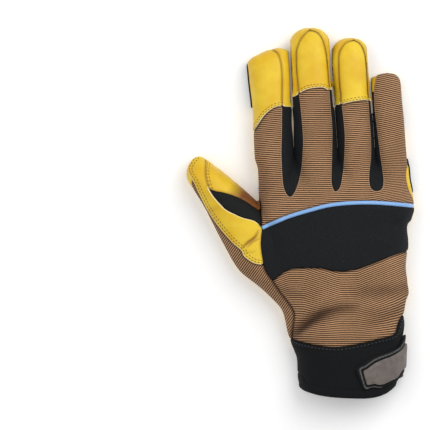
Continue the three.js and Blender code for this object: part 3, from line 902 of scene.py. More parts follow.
@dataclass
class Sheet:
    """An open piece of skin: points, normals, painted crease shade, how far from the edge, and faces."""

    points: Points
    normals: Array
    crease: Array
    depth: Array
    faces: Array

    @classmethod
    def clipped(
        cls, points: Points, normals: Array, crease: Array, faces: Array, value: Array
    ) -> "Sheet":
        """The part of a triangle mesh where a value isn't negative.

        Args:
            points: The mesh's points.
            normals: Their normals.
            crease: Their crease values.
            faces: The mesh's faces.
            value: The value at each point.

        Returns:
            The part, with new points where the value is 0.
        """
        inside = value >= 0
        count = inside[faces].sum(axis=1)
        keep, pairs = [faces[count == 3]], []
        for wanted in (1, 2):
            some = faces[count == wanted]
            first = (inside[some] == (wanted == 1)).argmax(axis=1)[:, None]
            pairs.append(np.take_along_axis(some, (first + np.arange(3)) % 3, axis=1))
        data = np.column_stack([points, normals, crease, value])
        edges = np.concatenate([pair[:, [0, end]] for pair in pairs for end in (1, 2)])
        unique, back = np.unique(np.sort(edges, axis=1), axis=0, return_inverse=True)
        back = back.reshape(-1)
        a, b = unique[:, 0], unique[:, 1]
        share = value[a] / (value[a] - value[b])
        fresh = data[a] + share[:, None] * (data[b] - data[a])
        fresh[:, 7] = 0
        number = len(points) + back
        ones, twos = len(pairs[0]), len(pairs[1])
        left, right = number[:ones], number[ones : 2 * ones]
        keep.append(np.column_stack([pairs[0][:, 0], left, right]))
        left, right = number[2 * ones : 2 * ones + twos], number[2 * ones + twos :]
        keep.append(np.column_stack([left, pairs[1][:, 1], pairs[1][:, 2]]))
        keep.append(np.column_stack([left, pairs[1][:, 2], right]))
        data = np.concatenate([data, fresh])
        kept = np.concatenate(keep)
        flat = (kept[:, 0] == kept[:, 1]) | (kept[:, 1] == kept[:, 2]) | (kept[:, 0] == kept[:, 2])
        kept = kept[~flat]
        used, renumbered = np.unique(kept, return_inverse=True)
        data = data[used]
        depth = np.maximum(data[:, 7], 0)
        return cls(data[:, :3], unit(data[:, 3:6]), data[:, 6], depth, renumbered.reshape(-1, 3)).welded()

    def welded(self) -> "Sheet":
        """The sheet with points that fall together merged, without empty faces.

        Returns:
            The merged sheet.
        """
        keys = np.round(self.points / 0.02).astype(np.int64)
        _, first, back = np.unique(keys, axis=0, return_index=True, return_inverse=True)
        faces = back.reshape(-1)[self.faces]
        a, b, c = faces.T
        faces = faces[(a != b) & (b != c) & (a != c)]
        return self._picked(first, faces).largest()

    def largest(self) -> "Sheet":
        """The sheet's biggest connected part.

        Returns:
            The sheet of that part.
        """
        label = np.arange(len(self.points))
        edges = self.faces[:, [0, 1, 1, 2, 2, 0]].reshape(-1, 2)
        while True:
            smaller = label.copy()
            np.minimum.at(smaller, edges[:, 0], label[edges[:, 1]])
            np.minimum.at(smaller, edges[:, 1], label[edges[:, 0]])
            smaller = smaller[smaller]
            if np.array_equal(smaller, label):
                break
            label = smaller
        biggest = np.bincount(label[self.faces[:, 0]]).argmax()
        faces = self.faces[label[self.faces[:, 0]] == biggest]
        used, back = np.unique(faces, return_inverse=True)
        return self._picked(used, back.reshape(-1, 3))

    def _picked(self, rows: Array, faces: Array) -> "Sheet":
        """A sheet of some of the points."""
        return Sheet(self.points[rows], self.normals[rows], self.crease[rows], self.depth[rows], faces)

    def border(self) -> Array:
        """The directed edges that only one triangle has.

        Returns:
            Two point numbers for each edge.
        """
        edges = self.faces[:, [0, 1, 1, 2, 2, 0]].reshape(-1, 2)
        size = len(self.points)
        forward = edges[:, 0] * size + edges[:, 1]
        backward = edges[:, 1] * size + edges[:, 0]
        return edges[~np.isin(forward, backward)]


EDGE_TURNS = (28, 56, 90, 124, 152)


class Profile(Enum):
    """How the edge of a panel is shaped."""

    ROUND = 1.0
    CUT = 0.35


@dataclass(frozen=True)
class Finishing:
    """How a panel is built up from its stretch of skin, in millimetres."""

    thickness: float = 1.1
    lift: float = 0.0
    dip: float = 0.4
    dip_width: float = 1.1
    gap: float = 0.1
    profile: Profile = Profile.ROUND
    lap_lift: float = 0.55
    lap_width: float = 3.0


def build_shell(
    sheet: Sheet, finishing: Finishing, lapped: Sequence[Line] = (), extra: Region | None = None
) -> tuple[Points, Array, dict[str, Array]]:
    """A closed shell from an open sheet: outer face, shaped edge and inner face.

    Args:
        sheet: The stretch of skin.
        finishing: Its thickness, lift and edge.
        lapped: Edges that lie on top of their neighbour.
        extra: More lift at each point, if any.

    Returns:
        Points, faces and the attributes of the points.
    """
    dip = finishing.dip * np.exp(-sheet.depth / finishing.dip_width)
    lift = finishing.lift - dip
    lap = np.zeros(len(sheet.points))
    for line in lapped:
        away = line.distance(sheet.points)
        share = np.exp(-((away / finishing.lap_width) ** 2))
        lift = lift + share * (finishing.lap_lift + dip)
        lap = np.maximum(lap, np.exp(-((away / 1.6) ** 4)))
    if extra is not None:
        lift = lift + extra(sheet.points)
    points = sheet.points + sheet.normals * lift[:, None]
    count = len(points)
    border = sheet.border()
    tangent = points[border[:, 1]] - points[border[:, 0]]
    across = np.cross(tangent, sheet.normals[border[:, 0]])
    outward = np.zeros_like(points)
    for end in (0, 1):
        for axis in range(3):
            outward[:, axis] += np.bincount(border[:, end], across[:, axis], count)
    rim = np.unique(border)
    out = outward[rim]
    normal = sheet.normals[rim]
    out = unit(out - normal * (out * normal).sum(axis=1)[:, None])
    half = finishing.thickness / 2
    turns = np.radians(EDGE_TURNS)
    power = finishing.profile.value
    pieces = [points]
    for turn in turns:
        rise = np.sign(np.cos(turn)) * abs(np.cos(turn)) ** power * half
        reach = abs(np.sin(turn)) ** power * half
        pieces.append(points[rim] + normal * (rise - half) + out * reach)
    pieces.append(points - sheet.normals * finishing.thickness)
    *starts, inner_start = count + len(rim) * np.arange(len(turns) + 1)
    rings = [rim, *(start + np.arange(len(rim)) for start in starts), inner_start + rim]
    place = np.full(count, -1)
    place[rim] = np.arange(len(rim))
    a, b = place[border[:, 0]], place[border[:, 1]]
    faces = [sheet.faces, sheet.faces[:, ::-1] + inner_start]
    for upper, lower in zip(rings, rings[1:]):
        faces.append(np.column_stack([upper[b], upper[a], lower[a]]))
        faces.append(np.column_stack([upper[b], lower[a], lower[b]]))
    source = np.concatenate([np.arange(count), *([rim] * len(turns)), np.arange(count)])
    sizes = [count, *([len(rim)] * len(turns)), count]
    attributes = {
        "rim": np.repeat([0.0, *np.ones(len(turns)), 0.0], sizes),
        # share of painted shade: the lower turns of the edge and the inner face
        "underside_shade": np.repeat([0.0, *np.clip((turns - 0.9) / 0.7, 0, 1), 1.0], sizes),
        "depth": sheet.depth[source],
        "crease": sheet.crease[source],
        "lap": lap[source],
        "inner": (np.arange(len(source)) >= inner_start).astype(float),
    }
    return np.concatenate(pieces), np.concatenate(faces), attributes


def make_object(
    name: str, points: Points, faces: Array, material: Material, attributes: dict[str, Array] | None = None
) -> Object:
    """A smooth mesh object at the origin.

    Args:
        name: The object's name.
        points: Points in millimetres.
        faces: Faces of the same number of corners.
        material: Its finish.
        attributes: Numbers for each point, by name.

    Returns:
        The object, linked to the scene.
    """
    mesh = bpy.data.meshes.new(name)
    count, sides = faces.shape
    mesh.vertices.add(len(points))
    mesh.vertices.foreach_set("co", (points * METRES).astype(np.float32).ravel())
    mesh.loops.add(count * sides)
    mesh.loops.foreach_set("vertex_index", faces.astype(np.int32).ravel())
    mesh.polygons.add(count)
    mesh.polygons.foreach_set("loop_start", np.arange(0, count * sides, sides, dtype=np.int32))
    mesh.polygons.foreach_set("use_smooth", np.ones(count, bool))
    for key, values in (attributes or {}).items():
        layer = mesh.attributes.new(key, "FLOAT", "POINT")
        layer.data.foreach_set("value", values.astype(np.float32))
    mesh.update(calc_edges=True)
    mesh.validate()
    mesh.materials.append(material)
    thing = bpy.data.objects.new(name, mesh)
    bpy.context.scene.collection.objects.link(thing)
    return thing


@dataclass(frozen=True)
class Fold:
    """A crease along a line in plan, deepest midway: depth and width in millimetres, and how much painted
    shade its bottom gets.
    """

    path: tuple[tuple[float, float], ...]
    depth: float
    width: float
    painted_shade_strength: float = 0.3
    below: bool = False

    def shape(self, points: Points, normals: Array) -> Array:
        """How far each point is in the crease, from 0 to 1.

        Args:
            points: The skin's points.
            normals: Their normals.

        Returns:
            One share for each point.
        """
        line = curve_through([np.array(p) for p in self.path], 10)
        steps = np.linspace(0, 1, len(line))
        room = 2.6 * self.width
        near = np.flatnonzero(np.all(
            (points[:, :2] > line.min(axis=0) - room) & (points[:, :2] < line.max(axis=0) + room), axis=1
        ))
        best = np.zeros(len(near))
        for place, step in zip(line, steps):
            strength = math.sin(math.pi * (0.08 + 0.84 * step)) ** 0.8
            away = ((points[near, :2] - place) ** 2).sum(axis=1) / self.width**2
            best = np.maximum(best, strength * np.exp(-away))
        facing = -normals[near, 2] if self.below else normals[near, 2]
        shape = np.zeros(len(points))
        shape[near] = best * np.clip((facing + 0.1) / 0.5, 0, 1)
        return shape


FOLDS = (
    Fold(
        ((-37, -39), (-34, -35.5), (-29, -31), (-20.3, -25.5), (-10.1, -21.6), (6, -18.6)), 3.6, 3.4, 0.95
    ),
    Fold(((-26, -28), (-16, -25), (-5, -22.6)), 0.8, 3.6, 0.45),
    Fold(((-34, -24), (-24, -17), (-10, -12), (4, -11)), -1.3, 4.2, 0.0),
    Fold(((-22, -36), (-10, -31), (4, -27)), -1.1, 4.0, 0.0),
    Fold(((0, -9), (20.3, -8), (37.1, -6.5), (50, -1)), 1.9, 4.6, 0.42),
    Fold(((13.5, -29), (27, -26), (42, -15.5)), 1.4, 3.4, 0.3),
    Fold(((6, -20), (24, -17), (42, -10)), -1.3, 4.4, 0.0),
    Fold(((8, 4), (26, 8), (42, 12)), -1.0, 5.5, 0.0),
    Fold(((-50, -4), (-36, -10), (-20, -13)), 1.0, 3.4, 0.2),
    Fold(((-70.2, 21.0), (-66.2, 25), (-61, 29), (-58.5, 33.5)), 0.8, 1.1, 0.9),
    Fold(((-66.5, 22), (-62.5, 26), (-58, 28)), 0.5, 1.0, 0.6),
    Fold(((-70, 19), (-64, 18.5), (-60, 20)), 0.4, 1.3, 0.3),
    Fold(((-82, 52), (-77, 55), (-73, 60)), 0.5, 2.0, 0.2),
    Fold(((-96, 44), (-90, 47), (-84, 50)), 0.5, 2.4, 0.2),
    Fold(((-42, 118), (-40, 138)), 0.35, 2.5, 0.05),
    Fold(((-35, 66), (-33, 90)), 0.5, 3.0, 0.1),
    Fold(((50, 27), (38, 22), (26, 20)), 1.0, 2.8, 0.1),
    Fold(((-60, 18), (-50, 4), (-44, -14)), 1.0, 3.0, 0.4, below=True),
    Fold(((-78, 44), (-70, 34), (-66, 22)), 0.8, 2.4, 0.4, below=True),
    Fold(((-30, -20), (-10, -24), (14, -22)), 0.9, 3.0, 0.3, below=True),
    Fold(((-54, 60), (-40, 54), (-20, 50)), 0.5, 2.4, 0.3, below=True),
)


def waviness(points: Points) -> Array:
    """The slow unevenness of soft material, in millimetres.

    Args:
        points: Where it is wanted.

    Returns:
        How deep the skin lies at each point.
    """
    rng = np.random.default_rng(SEED)
    total = np.zeros(len(points))
    for length in (61.0, 47.0, 33.0, 27.0, 21.0, 16.0):
        way = rng.normal(size=3)
        way /= np.linalg.norm(way)
        total += length / 61 * np.sin(points @ way * 2 * math.pi / length + rng.uniform(0, 2 * math.pi))
    return 0.14 * total


def drift(x: Array, places: Sequence[float], slopes: Sequence[float]) -> Array:
    """How far ribs have risen at each place across, from 0 at the middle.

    Args:
        x: Places across in millimetres.
        places: Where the slopes are known, rising.
        slopes: How steeply the ribs rise there.

    Returns:
        The rise in millimetres.
    """
    grid = np.linspace(-120, 70, 381)
    total = np.cumsum(np.interp(grid, places, slopes)) * (grid[1] - grid[0])
    return np.interp(x, grid, total - np.interp(0.0, grid, total))


def finger_ribs(points: Points) -> Array:
    """The place of each point across the ribs of the fingers and knuckles, in millimetres.

    Args:
        points: Where it is wanted.

    Returns:
        One place for each point.
    """
    x, y, _ = points.T
    fingers = drift(x, (-62, -36, -30, -6, 0, 18, 26), (-0.09, -0.09, -0.02, -0.02, -0.07, -0.07, -0.23))
    knuckles = drift(x, (-62, 12, 22), (-0.03, -0.02, 0.34))
    return y - knuckles - np.clip((y - 45) / 50, 0, 1) * (fingers - knuckles)


def back_ribs(points: Points) -> Array:
    """The place of each point across the ribs between band and cuff.

    Args:
        points: The points.

    Returns:
        The places in millimetres.
    """
    places = (-56, -40, -36, -30, -26, -6, -2, 6, 10)
    rise = drift(points[:, 0], places, (0.36, 0.36, 0, 0, -0.33, -0.33, 0, 0, 0.4))
    return points[:, 1] - np.clip((points[:, 1] + 42) / 32, 0, 1) * (rise - 5)


def thumb_ribs(points: Points) -> Array:
    """The place of each point across the steep ribs of the thumb's back, in millimetres."""
    turn = math.radians(55)
    return points[:, 1] * math.cos(turn) - points[:, 0] * math.sin(turn)


def thumb_web_shade_share(points: Points) -> Array:
    """How much painted shade the leather of the thumb's inner side gets towards the web, from 0 to 1.

    Args:
        points: Where it is wanted.

    Returns:
        One share for each point.
    """
    start, end = np.array([-78.0, 63.5]), np.array([-69.0, 57.5])
    run = end - start
    share = (points[:, :2] - start) @ run / (run @ run)
    return np.clip(share, 0, 1) * np.clip((18.0 - np.abs(points[:, 2] - 16)) / 6, 0, 1)


class Slot(Enum):
    """The record's material slots."""

    LEATHER = "leather"
    STRETCH = "stretch_fabric"
    BAND = "band_fabric"
    SYNTHETIC = "synthetic_leather"
    CUFF = "cuff_fabric"
    PIPING = "piping_cord"
    PLATE = "plate_rubber"


def linear(*channels: float) -> tuple[float, ...]:
    """A colour of 0 to 255 a channel, as a shader takes it."""
    shares = [channel / 255 for channel in channels]
    return (*(v / 12.92 if v <= 0.04045 else ((v + 0.055) / 1.055) ** 2.4 for v in shares), 1.0)


class Nodes:
    """A node tree to which nodes are added one by one."""

    def __init__(self, tree: NodeTree) -> None:
        """Takes the tree."""
        self.tree = tree

    def feed(self, socket: NodeSocket, value: object) -> None:
        """Links a socket to an input, or sets its value.

        Args:
            socket: The input.
            value: A socket, a number or a colour.
        """
        if isinstance(value, NodeSocket):
            self.tree.links.new(value, socket)
        else:
            socket.default_value = value

    def add(self, kind: str, inputs: dict | None = None, **settings: object) -> Node:
        """Adds a node.

        Args:
            kind: The node's type.
            inputs: Values or sockets by the input's name or number.
            settings: The node's own settings.

        Returns:
            The node.
        """
        node = self.tree.nodes.new(kind)
        for key, value in settings.items():
            setattr(node, key, value)
        for key, value in (inputs or {}).items():
            self.feed(node.inputs[key], value)
        return node


class Shader(Nodes):
    """A material's nodes."""

    def __init__(self, name: str, **constants: float | tuple) -> None:
        """Starts a material.

        Args:
            name: The material's name.
            constants: Values of the shader's own sockets, with underscores for spaces.
        """
        self.material = bpy.data.materials.new(name)
        self.material.use_nodes = True
        super().__init__(self.material.node_tree)
        self.surface = self.tree.nodes["Principled BSDF"]
        for key, value in constants.items():
            self.surface.inputs[key.replace("_", " ")].default_value = value
        self.place = self.add("ShaderNodeTexCoord").outputs["Object"]

    def number(self, attribute: str) -> NodeSocket:
        """The value of a point attribute."""
        return self.add("ShaderNodeAttribute", attribute_name=attribute).outputs["Fac"]

    def math(self, operation: str, *values: object) -> NodeSocket:
        """The result of a math node."""
        return self.add("ShaderNodeMath", dict(enumerate(values)), operation=operation).outputs[0]

    def remap(
        self, value: object, low: float, high: float, start: float = 0.0, end: float = 1.0
    ) -> NodeSocket:
        """A value taken from one range to another, with the ends held."""
        inputs = {"Value": value, "From Min": low, "From Max": high, "To Min": start, "To Max": end}
        return self.add("ShaderNodeMapRange", inputs, clamp=True).outputs[0]

    def mix(self, share: object, low: object, high: object) -> NodeSocket:
        """Two colours mixed by a share."""
        return self.add("ShaderNodeMix", {0: share, 6: low, 7: high}, data_type="RGBA").outputs[2]

    def noise(self, size: float, detail: float = 2.0, place: object = None) -> NodeSocket:
        """Noise with features of a size in millimetres."""
        inputs = {"Vector": place or self.place, "Scale": 1 / (size * METRES), "Detail": detail}
        return self.add("ShaderNodeTexNoise", inputs).outputs[0]

    def cells(self, size: float) -> NodeSocket:
        """Distance in cells of a size in millimetres."""
        inputs = {"Vector": self.place, "Scale": 1 / (size * METRES)}
        return self.add("ShaderNodeTexVoronoi", inputs).outputs["Distance"]

    def stretched(self, factors: tuple[float, float, float]) -> NodeSocket:
        """The place, scaled along each axis."""
        return self.add("ShaderNodeMapping", {"Vector": self.place, "Scale": factors}).outputs[0]

    def relief(self, *layers: tuple[object, float]) -> None:
        """Bumps from heights, each a share of its depth in millimetres."""
        normal = None
        for height, depth in layers:
            inputs = {"Height": height, "Distance": depth * METRES, "Strength": 1.0}
            if normal is not None:
                inputs["Normal"] = normal
            normal = self.add("ShaderNodeBump", inputs).outputs[0]
        self.feed(self.surface.inputs["Normal"], normal)

    def done(self, colour: object, roughness: object = None) -> Material:
        """Sets the colour and roughness, and hands over the material.

        Args:
            colour: A colour or a socket.
            roughness: The same, if any.

        Returns:
            The material.
        """
        self.feed(self.surface.inputs["Base Color"], colour)
        if roughness is not None:
            self.feed(self.surface.inputs["Roughness"], roughness)
        return self.material


@dataclass(frozen=True)
class GrainLeather:
    """Yellow grain leather, with cream raw edges, and orange-brown painted shade in its folds, along its
    sewn edges, under its cut edges and where the thumb turns into the web.
    """

    colour: tuple = linear(238, 203, 47)
    shade: tuple = linear(228, 182, 32)
    # painted shade: the orange-brown for fold bottoms, seam grooves and the undersides of cut edges
    painted_shade_colour: tuple = linear(138, 86, 22)
    raw_edge: tuple = linear(250, 234, 186)
    # painted shade where the thumb's inner leather turns into the web
    thumb_web_shade: tuple = linear(116, 62, 38)
    grain: float = 0.7

    def material(self) -> Material:
        """The finished material.

        Returns:
            The material.
        """
        shader = Shader("grain_leather", Roughness=0.5, Specular_IOR_Level=0.35, Coat_Weight=0.05)
        patches = shader.remap(shader.noise(16, 3), 0.35, 0.65)
        colour = shader.mix(patches, self.colour, self.shade)
        speckle = shader.remap(shader.noise(0.9, 4), 0.52, 0.8, 0.0, 0.5)
        colour = shader.mix(speckle, colour, self.shade)
        # painted shade where the thumb's inner leather turns into the web
        colour = shader.mix(shader.math("MULTIPLY", shader.number("thumb_web_shade"), 0.95), colour, self.thumb_web_shade)
        # painted shade at the bottoms of the folds
        crease_shade = shader.remap(shader.number("crease"), 0.08, 0.8, 0.0, 0.85)
        colour = shader.mix(crease_shade, colour, self.painted_shade_colour)
        # painted shade along sewn edges, where they dip into the seam groove
        sewn = shader.math("SUBTRACT", 1.0, shader.number("lap"))
        seam_groove_shade = shader.math("MULTIPLY", sewn, shader.remap(shader.number("depth"), 0.0, 0.8, 0.3, 0.0))
        colour = shader.mix(seam_groove_shade, colour, self.painted_shade_colour)
        # painted shade on the lower side of cut edges and on the inner face
        shaded = shader.math("MULTIPLY", shader.number("underside_shade"), sewn)
        colour = shader.mix(shaded, colour, self.painted_shade_colour)
        raw = shader.math("MULTIPLY", shader.number("rim"), shader.number("lap"))
        colour = shader.mix(raw, colour, self.raw_edge)
        pebbles = shader.cells(self.grain)
        fine = shader.noise(0.35, 3)
        soft = shader.noise(5, 3)
        shader.relief((pebbles, 0.06), (fine, 0.04), (soft, 0.3))
        return shader.done(colour, shader.remap(soft, 0.3, 0.7, 0.42, 0.6))


@dataclass(frozen=True)
class StretchFabric:
    """Brown stretch fabric with fine ribs, which follow the fabric."""

    # light and dark: painted light on the ribs' ridges and painted shade in their grooves; dark also
    # darkens random patches
    light: tuple = linear(224, 174, 129)
    dark: tuple = linear(48, 30, 20)
    # painted shade: the dark brown for fold bottoms and for sewn edges in their seam grooves
    fold: tuple = linear(52, 34, 26)
    worn: tuple = linear(178, 150, 124)
    pitch: float = 1.4

    def material(self) -> Material:
        """The finished material.

        Returns:
            The material.
        """
        shader = Shader("stretch_fabric", Roughness=0.9, Sheen_Weight=0.05, Specular_IOR_Level=0.15)
        wobble = shader.remap(shader.noise(7, 2), 0.2, 0.8, -0.2, 0.2)
        place = shader.math("ADD", shader.number("rib"), wobble)
        wave = shader.math("SINE", shader.math("MULTIPLY", place, 2 * math.pi / self.pitch))
        ridge = shader.remap(wave, -0.75, 0.95)
        yarn = shader.remap(shader.noise(0.5, 2, shader.stretched((1.4, 0.7, 1.0))), 0.35, 0.65)
        broken = shader.math("MULTIPLY", ridge, shader.remap(yarn, 0.0, 1.0, 0.72, 1.05))
        # the ribs as stripes of painted light on the ridges and painted shade in the grooves, over a bump
        # of the same ribs
        colour = shader.mix(broken, self.dark, self.light)
        tone = shader.remap(shader.noise(26, 2), 0.3, 0.7, 0.0, 0.2)
        colour = shader.mix(tone, colour, self.dark)
        # painted shade at the bottoms of the folds
        crease_shade = shader.remap(shader.number("crease"), 0.05, 1.0, 0.0, 0.95)
        colour = shader.mix(crease_shade, colour, self.fold)
        # painted shade along sewn edges, where they dip into the seam groove
        sewn = shader.math("SUBTRACT", 1.0, shader.number("lap"))
        seam_groove_shade = shader.math("MULTIPLY", sewn, shader.remap(shader.number("depth"), 0.0, 1.0, 0.6, 0.0))
        colour = shader.mix(seam_groove_shade, colour, self.fold)
        cut_edge = shader.remap(shader.number("depth"), 0.0, 0.3, 0.5, 0.0)
        colour = shader.mix(shader.math("MULTIPLY", cut_edge, shader.number("lap")), colour, self.worn)
        shader.relief((ridge, 0.22), (yarn, 0.06))
        return shader.done(colour)


@dataclass(frozen=True)
class SyntheticLeather:
    """Black synthetic leather with a fine even grain, darker towards its edges."""

    name: str = "synthetic_leather"
    colour: tuple = linear(32, 33, 32)
    light: tuple = linear(50, 51, 49)
    edge: tuple = linear(17, 17, 17)

    def material(self) -> Material:
        """The finished material.

        Returns:
            The material.
        """
        shader = Shader(self.name, Roughness=0.75, Specular_IOR_Level=0.22)
        mottled = shader.remap(shader.noise(0.8, 4), 0.4, 0.75)
        colour = shader.mix(mottled, self.colour, self.light)
        colour = shader.mix(shader.remap(shader.number("depth"), 0.0, 0.7, 0.6, 0.0), colour, self.edge)
        shader.relief((shader.cells(0.55), 0.05), (shader.noise(0.3, 3), 0.04), (shader.noise(6, 2), 0.15))
        return shader.done(colour)


@dataclass(frozen=True)
class Neoprene:
    """Black foam-backed knit, smooth with a faint thread."""

    name: str
    colour: tuple = linear(23, 24, 26)
    light: tuple = linear(36, 38, 40)
    lint: float = 0.25

    def material(self) -> Material:
        """The finished material.

        Returns:
            The material.
        """
        shader = Shader(self.name, Roughness=0.85, Sheen_Weight=0.02, Specular_IOR_Level=0.12)
        thread = shader.noise(0.5, 3, shader.stretched((0.6, 1.6, 1.0)))
        colour = shader.mix(shader.remap(thread, 0.35, 0.75), self.colour, self.light)
        # painted highlight along the strap's raised rim round the plate
        painted_rim_highlight = shader.math("MULTIPLY", shader.number("painted_rim_highlight"), 0.7)
        colour = shader.mix(painted_rim_highlight, colour, linear(128, 128, 126))
        lint = shader.remap(shader.noise(1.0, 5), 0.68, 0.76, 0.0, self.lint)
        colour = shader.mix(lint, colour, linear(120, 120, 118))
        shader.relief((thread, 0.06), (shader.noise(9, 2), 0.3))
        return shader.done(colour)


@dataclass(frozen=True)
class CordCover:
    """The light blue satin of the piping."""

    colour: tuple = linear(138, 184, 238)
    dark: tuple = linear(98, 146, 208)

    def material(self) -> Material:
        """The finished material.

        Returns:
            The material.
        """
        shader = Shader("piping_satin", Roughness=0.38, Sheen_Weight=0.2, Coat_Weight=0.15)
        inputs = {"Vector": shader.place, "Scale": 520.0, "Distortion": 1.0}
        thread = shader.add("ShaderNodeTexWave", inputs, bands_direction="DIAGONAL").outputs["Fac"]
        colour = shader.mix(shader.remap(thread, 0.0, 1.0, 0.0, 0.3), self.colour, self.dark)
        shader.relief((thread, 0.05))
        return shader.done(colour)


@dataclass(frozen=True)
class MouldedRubber:
    """Moulded rubber, matt and slightly uneven."""

    name: str
    colour: tuple = linear(112, 103, 97)
    dark: tuple = linear(92, 84, 80)
    roughness: float = 0.55

    def material(self) -> Material:
        """The finished material.

        Returns:
            The material.
        """
        shader = Shader(self.name, Roughness=self.roughness, Specular_IOR_Level=0.45)
        colour = shader.mix(shader.remap(shader.noise(4, 4), 0.35, 0.7), self.colour, self.dark)
        shader.relief((shader.noise(0.4, 2), 0.03))
        return shader.done(colour)


@dataclass(frozen=True)
class Thread:
    """Twisted sewing thread."""

    name: str
    colour: tuple

    def material(self) -> Material:
        """The finished material.

        Returns:
            The material.
        """
        shader = Shader(self.name, Roughness=0.6, Sheen_Weight=0.2)
        twist = shader.noise(0.25, 2)
        shader.relief((twist, 0.05))
        shaded = shader.remap(twist, 0.3, 0.7, 0.0, 0.4)
        return shader.done(shader.mix(shaded, self.colour, (0.01, 0.01, 0.01, 1)))


class Finishes:
    """Every finish of the glove, made once."""

    def __init__(self) -> None:
        """Makes the materials."""
        # a darker copy of the synthetic leather for the web patch: painted shade, as the web lies in shade
        shaded_web_colours = (linear(17, 18, 19), linear(28, 29, 30), linear(10, 10, 10))
        self.leather = GrainLeather().material()
        self.stretch = StretchFabric().material()
        self.synthetic = SyntheticLeather().material()
        self.web = SyntheticLeather("web_leather", *shaded_web_colours).material()
        self.band = Neoprene("band_knit").material()
        self.cuff = Neoprene("cuff_neoprene", linear(17, 18, 19), linear(27, 28, 30), 0.05).material()
        self.piping = CordCover().material()
        self.plate = MouldedRubber("plate_rubber").material()
        self.dark_thread = Thread("dark_thread", linear(126, 90, 26)).material()
        self.grey_thread = Thread("grey_thread", linear(74, 77, 80)).material()


@dataclass(frozen=True)
class Panel:
    """A piece of the glove: its node, region, finish and how it is built up."""

    node: str
    region: Region
    slot: Slot
    material: Material
    finishing: Finishing = Finishing()
    lapped: tuple[Line, ...] = ()
    extra: Region | None = None
    marks: dict[str, Region] = field(default_factory=dict)


def above(region: Region) -> Region:
    """The part of a region over the flank seam."""
    return lambda points: np.minimum(region(points), points[:, 2] - flank_seam(points))


def below(region: Region) -> Region:
    """The part of a region under the flank seam."""
    return lambda points: np.minimum(region(points), flank_seam(points) - points[:, 2])


GAP_LINES = [Line(np.array([gap.at(reach) for reach in range(0, 96, 8)])) for gap in GAPS.values()]


def flank_seam(points: Points) -> Array:
    """How high the seam between palm and back runs at each point.

    Args:
        points: Where it is wanted.

    Returns:
        One height for each point, in millimetres.
    """
    x, y = points[:, 0], points[:, 1]
    tongue = 10.0 * np.exp(-(((y - 66) / 12) ** 4)) * (x > 20)
    leaf = 15.0 * np.exp(-(((x + 106) ** 2 + (y - 68.5) ** 2) / 36))
    gap = np.min([line.distance(points) for line in GAP_LINES], axis=0)
    return SIZES.flank_height + tongue + leaf - 2.6 * np.exp(-((gap / 1.4) ** 2))


def both(*regions: Region) -> Region:
    """The part that regions share."""
    return lambda points: np.min([region(points) for region in regions], axis=0)


def either(*regions: Region) -> Region:
    """What any of some regions holds."""
    return lambda points: np.max([region(points) for region in regions], axis=0)


def outside(region: Region) -> Region:
    """What a region leaves out."""
    return lambda points: -region(points)


def beside(line: Line, room: float) -> Region:
    """What keeps some room from a line."""
    return lambda points: line.distance(points) - room


class Cutting:
    """The plan regions of the panels, from the seam lines."""

    def __init__(self) -> None:
        """Closes each region outside the glove's outline."""
        far = 1.35
        seams = SEAMS
        gaps = {
            name: np.array([gap.at(reach) for reach in (35, 50, 65, 80, 125)]) for name, gap in GAPS.items()
        }
        self.valleys = {
            name: outline(line, line[-1] + (0, 25), line[0] + (0, 25)).inside
            for name, line in seams.valleys.items()
        }
        self.index_tip = outline(
            seams.tip_edges["index"], gaps["index_middle"], INDEX.at(far, -1.8), INDEX.at(0.22, -1.8)
        ).inside
        self.middle_tip = outline(
            seams.tip_edges["middle"], gaps["middle_ring"], gaps["index_middle"][::-1]
        ).inside
        self.ring_tip = outline(
            seams.tip_edges["ring"], gaps["ring_little"], gaps["middle_ring"][::-1]
        ).inside
        self.little_wall = outline(
            GAPS["ring_little"].at(30.5), LITTLE.at(0.53, 0.3), LITTLE.at(far, 0.3),
            GAPS["ring_little"].at(90),
        ).inside
        self.fingers = outline(
            seams.piping, hand(0.9, 0.4), hand(0.9, 1.6), hand(-0.9, 1.6), (-90, 120), (-70, 88),
            seams.crotch[::-1], seams.web_foot[1:-1],
        ).inside
        self.band = outline(
            seams.piping, hand(0.9, 0.4), hand(0.9, 0.173), seams.band_foot[::-1],
            seams.band_edge_low[-2::-1], seams.band_edge_top[-2:0:-1],
        ).inside
        self.back = outline(
            seams.band_foot, hand(0.9, 0.173), hand(0.9, -0.8), hand(-0.34, -0.8), seams.thumb_seam[:0:-1]
        ).inside
        self.thumb_back = outline(
            seams.strip_edge, seams.band_edge_low[1:], seams.thumb_seam[1:], hand(-0.36, -0.8),
            hand(-1.2, -0.8), THUMB.at(1.05, 1.6),
        ).inside
        self.thumb_strip = outline(
            seams.strip_edge, seams.band_edge_top[-2::-1], seams.web_low[-2::-1],
            seams.strip_seam[-2::-1], THUMB.at(1.3, -0.3), THUMB.at(1.3, 0.9),
        ).inside
        self.thumb_inner = outline(
            seams.strip_seam, seams.web_high[1:], seams.crotch[1:], (-70, 88), THUMB.at(1.3, -0.9),
            THUMB.at(1.3, -0.3),
        ).inside
        self.web = outline(seams.web_low, seams.web_foot[-2::-1], seams.web_high[-2:0:-1]).inside
        self.cuff_above = outline(
            seams.cuff_top, cuff(1.4, -0.75), cuff(1.4, 3), cuff(-1.4, 3), cuff(-1.4, -0.03)
        ).inside
        self.cuff_below = outline(cuff(-1.6, 0.06), cuff(1.6, 0.06), cuff(1.6, 3), cuff(-1.6, 3)).inside
        self.mouth = outline(
            seams.mouth, cuff(1.6, 0.5), cuff(1.6, 4), cuff(-1.6, 4), cuff(-1.6, 0.5)
        ).inside


